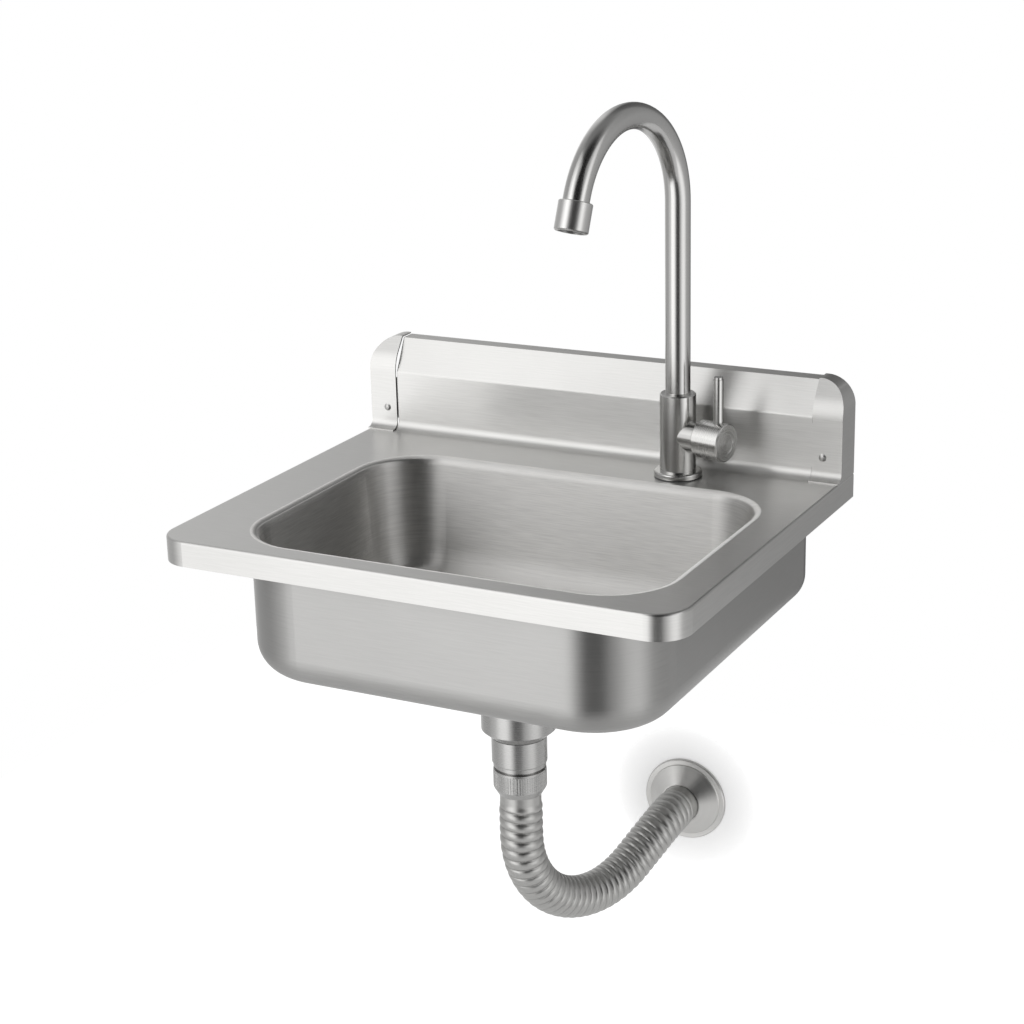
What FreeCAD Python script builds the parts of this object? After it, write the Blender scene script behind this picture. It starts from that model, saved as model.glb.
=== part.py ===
import FreeCAD, Part
import Sketcher
import math
import os

# Wall hung hand wash sink: a folded deck with a splash upstand, a drawn bowl inside
# a pressed skirt, a swivel tap with a side valve, and a strainer waste that drains
# through a ribbed pipe into the wall.
#
# Axes: +X to the user's right, +Y into the wall, +Z up. The wall is the plane Y = 0.
# The origin lies on the wall, midway between the two screw holes of the wall rail.
# Heights in the sizes below are counted from the top of the deck, up or down as named.

SIZES = [
    # sheet metal
    ("sheet", 1.2),
    ("seat_gap", 0.3),
    # deck and aprons
    ("deck_width", 430),
    ("deck_depth", 358),
    ("apron_height", 20),
    ("deck_corner", 26),
    ("deck_bend", 2),
    # upstand along the wall
    ("upstand_depth", 28.5),
    ("upstand_height", 78.5),
    ("crease_height", 51),
    ("top_return", 14),
    ("hook_drop", 15),
    ("cove_radius", 8),
    ("crease_radius", 4),
    ("seam_gap", 0.8),
    ("rivet_tab_low", 10),
    ("rivet_tab_high", 46),
    ("rivet_tab_width", 14),
    # end caps of the upstand
    ("cap_width", 25),
    ("cap_corner", 23),
    ("cap_crease", 60),
    ("cap_crown", 30),
    ("rivet_height", 19),
    ("rivet_inset", 16),
    ("rivet_shank", 4),
    ("rivet_head", 6.4),
    ("rivet_dome", 1.1),
    ("rivet_grip", 5),
    # wall rail
    ("rail_line", 45),
    ("rail_inset", 27),
    ("rail_sheet", 2),
    ("rail_drop", 17),
    ("rail_joggle", 14),
    ("rail_hole", 8.5),
    ("rail_hole_pitch", 300),
    # bowl
    ("bowl_middle", 11),
    ("bowl_length", 351),
    ("bowl_front", 17),
    ("bowl_shelf", 85),
    ("bowl_corner", 56),
    ("bowl_depth", 98),
    ("bowl_draft", 3),
    ("bowl_roll", 7),
    ("roll_land", 0.2),
    ("bowl_floor_radius", 24),
    # skirt round the bowl
    ("skirt_inset_left", 4),
    ("skirt_inset_right", 2.5),
    ("skirt_setback", 6.5),
    ("skirt_drop", 11.5),
    ("skirt_front_corner", 64),
    ("skirt_rear_corner", 28),
    ("skirt_floor_radius", 25.5),
    ("roll_relief", 4.8),
    ("window_left", 100),
    ("window_right", 124),
    ("window_top", 14),
    ("window_bottom", 78),
    ("window_corner", 12),
    # tap on the deck
    ("tap_right", 88),
    ("tap_off_wall", 61),
    ("tap_hole", 22),
    ("tap_plate_length", 60),
    ("tap_plate_breadth", 40),
    ("tap_plate_sheet", 2.5),
    ("tap_plate_corner", 6),
    ("gasket_sheet", 1),
    ("foot_dia", 38.5),
    ("foot_height", 4.5),
    ("tower_dia", 29),
    ("tower_top", 69),
    ("tower_chamfer", 1),
    ("shank_dia", 20.5),
    ("shank_bore", 10),
    ("shank_grip", 12),
    ("shank_drop", 40),
    ("tap_washer_dia", 34),
    ("tap_washer_sheet", 2),
    ("tap_nut_flats", 30),
    ("tap_nut_height", 8),
    ("thread_play", 0.1),
    # supply pipe
    ("tail_dia", 10),
    ("tail_wall", 1),
    ("tail_bend", 16),
    ("tail_straight", 4),
    ("tail_nut_flats", 26),
    ("tail_nut_height", 14),
    ("tail_nut_grip", 10),
    ("union_flats", 21),
    ("union_length", 13),
    ("union_thread", 16),
    ("union_grip", 10),
    ("union_off_wall", 0.5),
    # spout
    ("spout_dia", 20),
    ("spout_wall", 1.6),
    ("spout_rise", 222),
    ("spout_radius", 75.5),
    ("spout_sweep", 160),
    ("spout_tail", 9),
    ("spout_heading", -96.6),
    ("spout_socket", 24),
    ("socket_dia", 23.8),
    ("running_play", 0.05),
    ("bush_floor", 2),
    ("bush_height", 14),
    ("clip_sheet", 1.6),
    ("clip_dia", 22.8),
    ("gland_height", 4),
    ("outlet_dia", 25.5),
    ("outlet_length", 22),
    ("outlet_overlap", 7),
    ("outlet_chamber", 21),
    ("outlet_mouth", 19),
    ("outlet_lip", 1.2),
    ("screen_sheet", 2),
    ("screen_bore", 17.5),
    ("screen_hole", 2),
    ("screen_ring", 3.2),
    ("seal_height", 2),
    # side valve
    ("valve_turn", 12.5),
    ("valve_height", 35),
    ("branch_dia", 24.5),
    ("branch_reach", 22),
    ("cartridge_dia", 18.8),
    ("cartridge_back", 4),
    ("cartridge_bore", 13),
    ("cartridge_port", 6),
    ("cartridge_nut_dia", 21),
    ("cartridge_nut_flats", 19),
    ("cartridge_nut_grip", 5),
    ("cartridge_nut_proud", 3),
    ("spindle_dia", 8),
    ("spindle_start", 8),
    ("spindle_tip", 36),
    ("handle_gap", 0.4),
    ("handle_dia", 30.5),
    ("handle_length", 25),
    ("handle_recess", 24),
    ("handle_recess_depth", 4.5),
    ("handle_bevel", 0.8),
    ("face_ring", 18),
    ("face_step", 0.4),
    ("grub_at", 31),
    ("grub_dia", 4),
    ("grub_length", 9),
    ("lever_at", 39),
    ("lever_dia", 8),
    ("lever_play", 0.1),
    ("lever_seat", 12.5),
    ("lever_stud", 5),
    ("lever_stud_end", 5.5),
    ("lever_top", 52.6),
    ("lever_tip_dia", 7),
    ("lever_tip", 2),
    # strainer waste
    ("waste_middle", 11),
    ("waste_off_wall", 201),
    ("recess_dia", 90),
    ("recess_depth", 1.6),
    ("waste_hole", 69),
    ("cup_flange_dia", 88),
    ("cup_flange_sheet", 1.2),
    ("cup_mouth", 66),
    ("cup_mouth_drop", 4),
    ("cup_dia", 60),
    ("cup_wall", 1.5),
    ("cup_shoulder", 177),
    ("neck_top", 184),
    ("neck_dia", 44.5),
    ("neck_bottom", 206.5),
    ("neck_step_dia", 42.4),
    ("neck_step_bottom", 209.5),
    ("neck_thread_dia", 38),
    ("neck_end", 222),
    ("neck_bore", 34),
    ("waste_gasket_sheet", 3),
    ("waste_washer_sheet", 1),
    ("clamp_bore", 64.4),
    ("gasket_dia", 84),
    ("clamp_dia", 80),
    ("clamp_nut_dia", 76),
    ("clamp_nut_height", 11),
    ("clamp_lug", 5),
    ("clamp_lug_width", 10),
    ("skirt_hole", 92),
    ("basket_rim", 64),
    ("basket_dia", 50),
    ("basket_floor_dia", 44),
    ("basket_depth", 34),
    ("basket_sheet", 1.2),
    ("basket_seat", 0.3),
    ("basket_hole", 4),
    ("basket_ring", 7),
    ("basket_side_hole", 4.5),
    ("knob_dia", 16),
    ("knob_stem", 6),
    ("knob_rise", 22),
    ("knob_height", 5),
    # ribbed drain pipe
    ("hose_nut_dia", 42.4),
    ("hose_nut_top", 212),
    ("hose_nut_bottom", 228),
    ("hose_nut_taper", 6),
    ("hose_nut_lip", 35.4),
    ("hose_flange_dia", 37.4),
    ("hose_flange", 2.5),
    ("hose_seal", 1.5),
    ("hose_dia", 35.2),
    ("hose_root_dia", 31.4),
    ("hose_bore", 28),
    ("hose_plain_dia", 33.4),
    ("hose_start", 241),
    ("hose_low_corner", 419),
    ("hose_low_radius", 83),
    ("hose_wall_radius", 60),
    ("hose_wall_middle", 69.5),
    ("hose_wall_drop", 315.5),
    ("hose_wall_corner", 42),
    ("hose_reach", 28),
    ("hose_plain_end", 20),
    ("rib_pitch", 7),
    ("rib_rise", 0.2),
    ("rib_fall", 0.58),
    ("rib_end", 0.8),
    ("rosette_dia", 74),
    ("rosette_rim", 4.5),
    ("rosette_rise", 3),
    ("rosette_depth", 13),
    ("rosette_sheet", 1),
    ("sleeve_dia", 44),
    ("sleeve_bore", 36),
    ("sleeve_flange", 56),
    ("sleeve_flange_sheet", 2),
    ("sleeve_reach", 40),
    ("wall_seal_start", 6),
    ("wall_seal_length", 14),
]

doc = FreeCAD.newDocument("HandWashSink")
sheet = doc.addObject("Spreadsheet::Sheet", "Sizes")
for row, (alias, number) in enumerate(SIZES, start=1):
    sheet.set(f"A{row}", alias)
    sheet.set(f"B{row}", str(number))
    sheet.setAlias(f"B{row}", alias)
doc.recompute()


def value(words):
    """The number that an expression over the sheet gives."""
    result = sheet.evalExpression(str(words).replace("Sizes.", ""))
    return float(getattr(result, "Value", result))


# ---------------------------------------------------------------- tools of the model

def place(item, right="0", back="0", up="0", yaw="0", pitch="0"):
    """Bind an item's place and turn; up is counted from the top of the deck."""
    item.setExpression(
        "Placement",
        f"placement(vector({right}; {back}; {up} - Sizes.rail_line); rotation({yaw}; {pitch}; 0))",
    )


def new_core(label):
    """An empty body that another body is hollowed with, in that body's own frame."""
    body = doc.addObject("PartDesign::Body", label)
    body.Label = label
    return body


def new_body(label, **where):
    """An empty body, placed in the sink's frame."""
    body = new_core(label)
    place(body, **where)
    return body


def new_sketch(body, name, plane, offset=None):
    """A sketch on one of the body's own planes, moved along its normal by offset."""
    sketch = body.newObject("Sketcher::SketchObject", f"{body.Name}_{name}")
    support = next(o for o in body.Origin.OriginFeatures if o.Role == plane)
    sketch.AttachmentSupport = [(support, "")]
    sketch.MapMode = "FlatFace"
    if offset is not None:
        sketch.setExpression("AttachmentOffset.Base.z", offset)
    return sketch


def bind_point(sketch, geometry, vertex, across, upward):
    """Hold one point of a sketch at two distances from the sketch's origin."""
    for kind, words in (("DistanceX", across), ("DistanceY", upward)):
        index = sketch.addConstraint(Sketcher.Constraint(kind, -1, 1, geometry, vertex, value(words)))
        sketch.setExpression(f"Constraints[{index}]", words)


def draw_polygon(sketch, points):
    """A closed outline through points, each given by two expressions."""
    count = len(points)
    spots = [FreeCAD.Vector(value(across), value(upward), 0) for across, upward in points]
    first = sketch.GeometryCount
    for i in range(count):
        sketch.addGeometry(Part.LineSegment(spots[i], spots[(i + 1) % count]), False)
    for i in range(count):
        sketch.addConstraint(Sketcher.Constraint("Coincident", first + i, 2, first + (i + 1) % count, 1))
    for i, (across, upward) in enumerate(points):
        bind_point(sketch, first + i, 1, across, upward)


def draw_rounded(sketch, sides, radii):
    """A rectangle with rounded corners.

    sides are the expressions left, right, low and high; radii run round from the
    left low corner against the clock, and None leaves a corner sharp.
    """
    left, right, low, high = sides
    corners = [(left, low, 1, 1), (right, low, -1, 1), (right, high, -1, -1), (left, high, 1, -1)]
    arrive = []
    leave = []
    for i, (x, y, inward_x, inward_y) in enumerate(corners):
        radius = radii[i] or "0"
        along_y = FreeCAD.Vector(value(x), value(y) + inward_y * value(radius), 0)
        along_x = FreeCAD.Vector(value(x) + inward_x * value(radius), value(y), 0)
        arrive.append(along_y if i % 2 == 0 else along_x)
        leave.append(along_x if i % 2 == 0 else along_y)
    lines = []
    for i in range(4):
        lines.append(sketch.addGeometry(Part.LineSegment(leave[i], arrive[(i + 1) % 4]), False))
    for i, (x, y, inward_x, inward_y) in enumerate(corners):
        before = lines[(i - 1) % 4]
        if radii[i] is None:
            sketch.addConstraint(Sketcher.Constraint("Coincident", before, 2, lines[i], 1))
            bind_point(sketch, lines[i], 1, x, y)
            continue
        radius = value(radii[i])
        middle = FreeCAD.Vector(value(x) + inward_x * radius, value(y) + inward_y * radius, 0)
        start = math.pi + i * math.pi / 2
        rim = Part.Circle(middle, FreeCAD.Vector(0, 0, 1), radius)
        arc = sketch.addGeometry(Part.ArcOfCircle(rim, start, start + math.pi / 2), False)
        sketch.addConstraint(Sketcher.Constraint("Tangent", before, 2, arc, 1))
        sketch.addConstraint(Sketcher.Constraint("Tangent", arc, 2, lines[i], 1))
        bind_point(sketch, arc, 3, f"{x} + {inward_x} * ({radii[i]})", f"{y} + {inward_y} * ({radii[i]})")
        index = sketch.addConstraint(Sketcher.Constraint("Radius", arc, radius))
        sketch.setExpression(f"Constraints[{index}]", radii[i])


def draw_circle(sketch, diameter, across="0", upward="0"):
    """A circle with a bound middle and diameter."""
    middle = FreeCAD.Vector(value(across), value(upward), 0)
    rim = sketch.addGeometry(Part.Circle(middle, FreeCAD.Vector(0, 0, 1), value(diameter) / 2), False)
    bind_point(sketch, rim, 3, across, upward)
    index = sketch.addConstraint(Sketcher.Constraint("Diameter", rim, value(diameter)))
    sketch.setExpression(f"Constraints[{index}]", diameter)


def polygon(body, name, plane, points, offset=None):
    """A sketch that holds one closed outline."""
    sketch = new_sketch(body, name, plane, offset)
    draw_polygon(sketch, points)
    return sketch


def rounded(body, name, plane, sides, radii, offset=None):
    """A sketch that holds one rectangle with rounded corners."""
    sketch = new_sketch(body, name, plane, offset)
    draw_rounded(sketch, sides, radii)
    return sketch


def circle(body, name, plane, diameter, across="0", upward="0", offset=None):
    """A sketch that holds one circle."""
    sketch = new_sketch(body, name, plane, offset)
    draw_circle(sketch, diameter, across, upward)
    return sketch


def rectangle(left, right, low, high):
    """The four corners of a rectangle, from expressions of its sides."""
    return [(left, low), (right, low), (right, high), (left, high)]


def proof(body, feature):
    """Recompute and stop if the new feature has failed."""
    doc.recompute()
    if not feature.isValid() or feature.Shape.isNull():
        raise RuntimeError(f"{feature.Name} has failed")
    body.Tip = feature
    return feature


def pad(body, sketch, length, downward=False, draft=None):
    """Material along the sketch's normal, or against it."""
    feature = body.newObject("PartDesign::Pad", f"{sketch.Name}_pad")
    feature.Profile = sketch
    feature.Reversed = downward
    feature.setExpression("Length", length)
    if draft is not None:
        feature.setExpression("TaperAngle", draft)
    return proof(body, feature)


def pocket(body, sketch, length, forward=False, draft=None):
    """A cut against the sketch's normal, or along it; it has to remove something."""
    before = body.Shape.Volume
    feature = body.newObject("PartDesign::Pocket", f"{sketch.Name}_cut")
    feature.Profile = sketch
    feature.Reversed = forward
    feature.setExpression("Length", length)
    if draft is not None:
        feature.setExpression("TaperAngle", draft)
    proof(body, feature)
    if body.Shape.Volume > before - 1e-3:
        raise RuntimeError(f"{feature.Name} removes nothing")
    return feature


def turn_solid(body, sketch, axis):
    """A full turn of the sketch about its own axis."""
    feature = body.newObject("PartDesign::Revolution", f"{sketch.Name}_turn")
    feature.Profile = sketch
    feature.ReferenceAxis = (sketch, [axis])
    feature.Angle = 360
    return proof(body, feature)


def polar(body, feature, axis, copies):
    """Copies of a feature round one of the body's own axes."""
    pattern = body.newObject("PartDesign::PolarPattern", f"{feature.Name}_ring")
    pattern.Originals = [feature]
    pattern.Axis = (next(o for o in body.Origin.OriginFeatures if o.Role == axis), [""])
    pattern.Angle = 360
    pattern.Occurrences = copies
    return proof(body, pattern)


def edges_where(shape, wanted):
    """Names of the edges of a shape that pass a test on their box."""
    return [f"Edge{i}" for i, edge in enumerate(shape.Edges, start=1) if wanted(edge.BoundBox)]


def near(one, other, slack=0.05):
    """Whether two lengths are the same to within a small slack."""
    return abs(one - other) < slack


def fillet(body, name, radius, wanted):
    """Round the edges of the body's tip that pass a test."""
    tip = body.Tip
    names = edges_where(tip.Shape, wanted)
    if not names:
        raise RuntimeError(f"{body.Name} has no edge to round for {name}")
    feature = body.newObject("PartDesign::Fillet", f"{body.Name}_{name}")
    feature.Base = (tip, names)
    feature.setExpression("Radius", radius)
    return proof(body, feature)


def chamfer(body, name, width, wanted):
    """Bevel the edges of the body's tip that pass a test."""
    tip = body.Tip
    feature = body.newObject("PartDesign::Chamfer", f"{body.Name}_{name}")
    feature.Base = (tip, edges_where(tip.Shape, wanted))
    feature.setExpression("Size", width)
    return proof(body, feature)


def turned(label, points, **where):
    """A body turned about its own upright axis, from (radius, height) points."""
    body = new_body(label, **where)
    profile = polygon(body, "profile", "XZ_Plane", points)
    turn_solid(body, profile, "V_Axis")
    return body


def ring(label, outer, inner, low, high, **where):
    """A plain ring from its two diameters and its two heights."""
    return turned(label, rectangle(f"{inner} / 2", f"{outer} / 2", low, high), **where)


def hexagon(flats):
    """Corners of a hexagon with the given width across its flats."""
    corners = []
    for i in range(6):
        angle = 60 * i
        corners.append((f"{flats} / sqrt(3) * cos({angle})", f"{flats} / sqrt(3) * sin({angle})"))
    return corners


def hex_nut(label, flats, bore, low, high, **where):
    """A plain hexagon nut on its own upright axis."""
    body = new_body(label, **where)
    pad(body, polygon(body, "hexagon", "XY_Plane", hexagon(flats), offset=low), f"{high} - ({low})")
    pocket(body, circle(body, "bore", "XY_Plane", bore, offset=high), f"{high} - ({low}) + 1")
    return body


def tub(body, sides, corners, top, depth, floor_radius, draft=None):
    """A rounded block hung from a level, with a rounded floor edge."""
    outline = rounded(body, "outline", "XY_Plane", sides, corners, top)
    pad(body, outline, depth, downward=True, draft=draft)
    floor = value(f"{top} - {depth}")
    fillet(body, "floor", floor_radius, lambda box: near(box.ZMax, floor))


def hollow_out(body, core):
    """Cut one body out of another."""
    feature = body.newObject("PartDesign::Boolean", f"{body.Name}_hollow")
    feature.Type = "Cut"
    feature.setObjects([core])
    return proof(body, feature)


# ---------------------------------------------------------------- places used by several pieces

TAP = {"right": "Sizes.tap_right", "back": "-Sizes.tap_off_wall"}
WASTE = {"right": "Sizes.waste_middle", "back": "-Sizes.waste_off_wall"}

HALF_WIDTH = "Sizes.deck_width / 2"
FRONT = "-Sizes.deck_depth"
CAP_START = f"({HALF_WIDTH} - Sizes.cap_width)"
BOWL_LEFT = "(Sizes.bowl_middle - Sizes.bowl_length / 2)"
BOWL_RIGHT = "(Sizes.bowl_middle + Sizes.bowl_length / 2)"
BOWL_FRONT = "(Sizes.bowl_front - Sizes.deck_depth)"
BOWL_BACK = "(-Sizes.bowl_shelf)"
SKIRT_DEPTH = "(Sizes.bowl_depth + Sizes.skirt_drop)"
SKIRT_LEFT = f"({BOWL_LEFT} + Sizes.skirt_inset_left)"
SKIRT_RIGHT = f"({BOWL_RIGHT} - Sizes.skirt_inset_right)"
RAIL_LENGTH = "(Sizes.deck_width - 2 * Sizes.rail_inset)"
RIVET_AT = f"({HALF_WIDTH} - Sizes.rivet_inset)"
FOOT_TOP = "(Sizes.gasket_sheet + Sizes.foot_height)"
PLATE_LOW = "(-Sizes.sheet - Sizes.tap_plate_sheet)"
WASHER_LOW = f"({PLATE_LOW} - Sizes.tap_washer_sheet)"
NUT_LOW = f"({WASHER_LOW} - Sizes.tap_nut_height)"
CROOK_OUT = "(Sizes.spout_radius * (1 - cos(Sizes.spout_sweep)))"
CROOK_UP = "(Sizes.spout_rise + Sizes.spout_radius * sin(Sizes.spout_sweep))"
SPOUT_OUT = f"({CROOK_OUT} + Sizes.spout_tail * sin(Sizes.spout_sweep))"
SPOUT_UP = f"({CROOK_UP} + Sizes.spout_tail * cos(Sizes.spout_sweep))"
FLANGE_TOP = "(-Sizes.neck_end - Sizes.hose_seal)"


def bowl_sides(inset):
    """Sides of the bowl's outline in plan, drawn in by an amount."""
    return (
        f"{BOWL_LEFT} + {inset}",
        f"{BOWL_RIGHT} - ({inset})",
        f"{BOWL_FRONT} + {inset}",
        f"{BOWL_BACK} - ({inset})",
    )


def bowl_corners(inset):
    """The four corner radii that go with bowl_sides."""
    return [f"Sizes.bowl_corner - ({inset})"] * 4


def within_bowl_rim(box):
    """Whether a box lies inside the bowl's outline without touching it."""
    margin = 1
    return (
        box.XMin > value(BOWL_LEFT) + margin
        and box.XMax < value(BOWL_RIGHT) - margin
        and box.YMin > value(BOWL_FRONT) + margin
        and box.YMax < value(BOWL_BACK) - margin
    )


# ---------------------------------------------------------------- deck, caps and rail

def upstand_profile(grow, low):
    """Front of the upstand as (back, up) points from a low height, grown outwards."""
    return [
        (f"-Sizes.upstand_depth - {grow}", low),
        (f"-Sizes.upstand_depth - {grow}", f"Sizes.crease_height + {grow} / 2"),
        (f"-Sizes.top_return - {grow} * 0.7", f"Sizes.upstand_height + {grow}"),
    ]


def build_deck_shell():
    """Deck, aprons and upstand, folded from one sheet."""
    body = new_body("deck_shell")
    outside = (f"-{HALF_WIDTH}", HALF_WIDTH, FRONT, "0")
    radii = ["Sizes.deck_corner", "Sizes.deck_corner", None, None]
    pad(body, rounded(body, "outline", "XY_Plane", outside, radii), "Sizes.apron_height", downward=True)
    fillet(body, "bend", "Sizes.deck_bend", lambda box: near(box.ZMin, 0) and box.YMin < -1)
    inside = (f"-{HALF_WIDTH} + Sizes.sheet", f"{HALF_WIDTH} - Sizes.sheet", f"{FRONT} + Sizes.sheet", "5")
    inner_radii = ["Sizes.deck_corner - Sizes.sheet", "Sizes.deck_corner - Sizes.sheet", None, None]
    hollow = rounded(body, "hollow", "XY_Plane", inside, inner_radii, "-Sizes.sheet")
    pocket(body, hollow, "Sizes.apron_height")
    pocket(body, rounded(body, "opening", "XY_Plane", bowl_sides("0"), bowl_corners("0")), "Sizes.sheet")
    spot = ("Sizes.tap_right", "-Sizes.tap_off_wall")
    tap_hole = circle(body, "tap_hole", "XY_Plane", "Sizes.tap_hole", *spot)
    pocket(body, tap_hole, "Sizes.sheet")
    behind = rectangle(
        f"-{HALF_WIDTH} + Sizes.sheet",
        f"{HALF_WIDTH} - Sizes.sheet",
        "-Sizes.upstand_depth + Sizes.sheet",
        "5",
    )
    pocket(body, polygon(body, "behind", "XY_Plane", behind), "Sizes.sheet")

    half = f"({CAP_START} - Sizes.seam_gap)"
    face = upstand_profile("0", "-Sizes.sheet") + [
        ("0", "Sizes.upstand_height"),
        ("0", "Sizes.upstand_height - Sizes.hook_drop"),
        ("-Sizes.sheet", "Sizes.upstand_height - Sizes.hook_drop"),
        ("-Sizes.sheet", "Sizes.upstand_height - Sizes.sheet"),
        ("-Sizes.top_return + Sizes.sheet * 0.6", "Sizes.upstand_height - Sizes.sheet"),
        ("-Sizes.upstand_depth + Sizes.sheet", "Sizes.crease_height - Sizes.sheet / 4"),
        ("-Sizes.upstand_depth + Sizes.sheet", "-Sizes.sheet"),
    ]
    pad(body, polygon(body, "upstand", "YZ_Plane", face, offset=f"-{half}"), f"2 * {half}")
    panel = -value("upstand_depth")
    crease = value("crease_height")
    for name, radius, height in (("cove", "Sizes.cove_radius", 0), ("crease", "Sizes.crease_radius", crease)):
        fillet(
            body,
            name,
            radius,
            lambda box, level=height: box.XLength > 300
            and near(box.YMin, panel)
            and near(box.YMax, panel)
            and near(box.ZMin, level)
            and near(box.ZMax, level),
        )

    tab = rectangle(
        "-Sizes.upstand_depth",
        "-Sizes.upstand_depth + Sizes.sheet",
        "Sizes.rivet_tab_low",
        "Sizes.rivet_tab_high",
    )
    reach = f"({CAP_START} + Sizes.rivet_tab_width)"
    for side, start in ((-1, f"-{reach}"), (1, half)):
        name = f"rivet_tab_{'left' if side < 0 else 'right'}"
        pad(body, polygon(body, name, "YZ_Plane", tab, offset=start), f"{reach} - {half}")
        hole = circle(
            body,
            f"{name}_hole",
            "XZ_Plane",
            "Sizes.rivet_shank + 2 * Sizes.thread_play",
            f"{side} * {RIVET_AT}",
            "Sizes.rivet_height",
            offset="Sizes.upstand_depth",
        )
        pocket(body, hole, "Sizes.sheet + 1")
    return body


def cap_form(body, side, grow, foot, overlap):
    """Outside or inside of an end cap: the upstand's profile with a rounded outer corner.

    grow is the distance off the upstand, foot the flange on the deck or None, and
    overlap how far the form runs past the cap's inner end and its open sides.
    """
    outer = f"({HALF_WIDTH} + {grow} - Sizes.seat_gap - Sizes.sheet)"
    inner = f"({CAP_START} - {overlap})"
    back = f"({overlap})"
    face_y = f"(-Sizes.upstand_depth - {grow})"
    if foot is None:
        points = [(face_y, f"-({overlap})")]
    else:
        toe = f"{face_y} - Sizes.cove_radius"
        points = [(toe, "0"), (toe, foot), (face_y, foot)]
    points.append((face_y, "Sizes.cap_crease"))
    points.append((f"-Sizes.top_return - {grow}", f"Sizes.upstand_height + {grow}"))
    points += [(back, f"Sizes.upstand_height + {grow}"), (back, f"-({overlap})")]
    start = inner if side > 0 else f"-{outer}"
    pad(body, polygon(body, "profile", "YZ_Plane", points, offset=start), f"{outer} - {inner}")
    face = value(face_y)
    if foot is not None:
        height = value(foot)
        fillet(
            body,
            "cove",
            f"Sizes.cove_radius - {foot}",
            lambda box: near(box.YMin, face) and near(box.YMax, face) and near(box.ZMax, height),
        )
    fillet(
        body,
        "crown",
        f"Sizes.cap_crown - Sizes.sheet - Sizes.seat_gap + {grow}",
        lambda box: near(box.YMin, face) and near(box.YMax, face) and box.ZMin > value("cap_crease") - 1,
    )
    top = value(f"Sizes.upstand_height + {grow}")
    edge = side * value(outer)
    fillet(
        body,
        "corner",
        f"Sizes.cap_corner - Sizes.sheet - Sizes.seat_gap + {grow}",
        lambda box: near(box.ZMin, top)
        and near(box.ZMax, top)
        and near(box.XMin, edge)
        and near(box.XMax, edge),
    )


def build_end_cap(side, label):
    """Pressed cap that closes one end of the upstand; side is -1 left, 1 right."""
    cap = new_body(label)
    cap_form(cap, side, "(Sizes.seat_gap + Sizes.sheet)", "Sizes.sheet", "0")
    core = new_core(f"{label}_core")
    cap_form(core, side, "Sizes.seat_gap", None, "2")
    hollow_out(cap, core)
    hole = circle(
        cap,
        "rivet_hole",
        "XZ_Plane",
        "Sizes.rivet_shank + 2 * Sizes.thread_play",
        f"{side} * {RIVET_AT}",
        "Sizes.rivet_height",
        offset="Sizes.upstand_depth + Sizes.seat_gap + Sizes.sheet",
    )
    pocket(cap, hole, "2 * Sizes.sheet")
    return cap


def group(label, members):
    """Several solids under one name."""
    compound = doc.addObject("Part::Compound", label)
    compound.Links = members
    compound.Label = label
    doc.recompute()
    return compound


def build_cap_rivets():
    """A blind rivet in each end cap, through the cap and the tab behind it."""
    profile = [
        ("-Sizes.rivet_dome", "0"),
        ("-Sizes.rivet_dome * 0.7", "Sizes.rivet_head / 4"),
        ("0", "Sizes.rivet_head / 2"),
        ("0", "Sizes.rivet_shank / 2"),
        ("Sizes.rivet_grip", "Sizes.rivet_shank / 2"),
        ("Sizes.rivet_grip", "0"),
    ]
    rivets = []
    for side, name in ((-1, "left"), (1, "right")):
        rivet = new_body(
            f"rivet_{name}",
            right=f"{side} * {RIVET_AT}",
            back="-Sizes.upstand_depth - Sizes.seat_gap - Sizes.sheet",
            up="Sizes.rivet_height",
            yaw="90",
        )
        turn_solid(rivet, polygon(rivet, "profile", "XY_Plane", profile), "H_Axis")
        rivets.append(rivet)
    return group("cap_rivets", rivets)


def build_wall_rail():
    """Joggled rail on the wall; the upstand's folded lip drops in behind its top edge."""
    body = new_body("wall_rail")
    low = "(Sizes.rail_line - Sizes.rail_drop)"
    step = "(Sizes.rail_line + Sizes.rail_joggle)"
    top = "Sizes.upstand_height - Sizes.sheet - Sizes.seat_gap"
    thick = "Sizes.rail_sheet"
    profile = [
        ("0", low),
        ("0", step),
        (f"-{thick}", f"{step} + {thick}"),
        (f"-{thick}", top),
        (f"-2 * {thick}", top),
        (f"-2 * {thick}", f"{step} + {thick} / 2"),
        (f"-{thick}", f"{step} - {thick} / 2"),
        (f"-{thick}", low),
    ]
    outline = polygon(body, "profile", "YZ_Plane", profile, offset=f"-{RAIL_LENGTH} / 2")
    pad(body, outline, RAIL_LENGTH)
    holes = new_sketch(body, "screw_holes", "XZ_Plane", offset="Sizes.rail_sheet")
    for side in (-1, 1):
        draw_circle(holes, "Sizes.rail_hole", f"{side} * Sizes.rail_hole_pitch / 2", "Sizes.rail_line")
    pocket(body, holes, "Sizes.rail_sheet")
    return body


# ---------------------------------------------------------------- bowl and skirt

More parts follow.
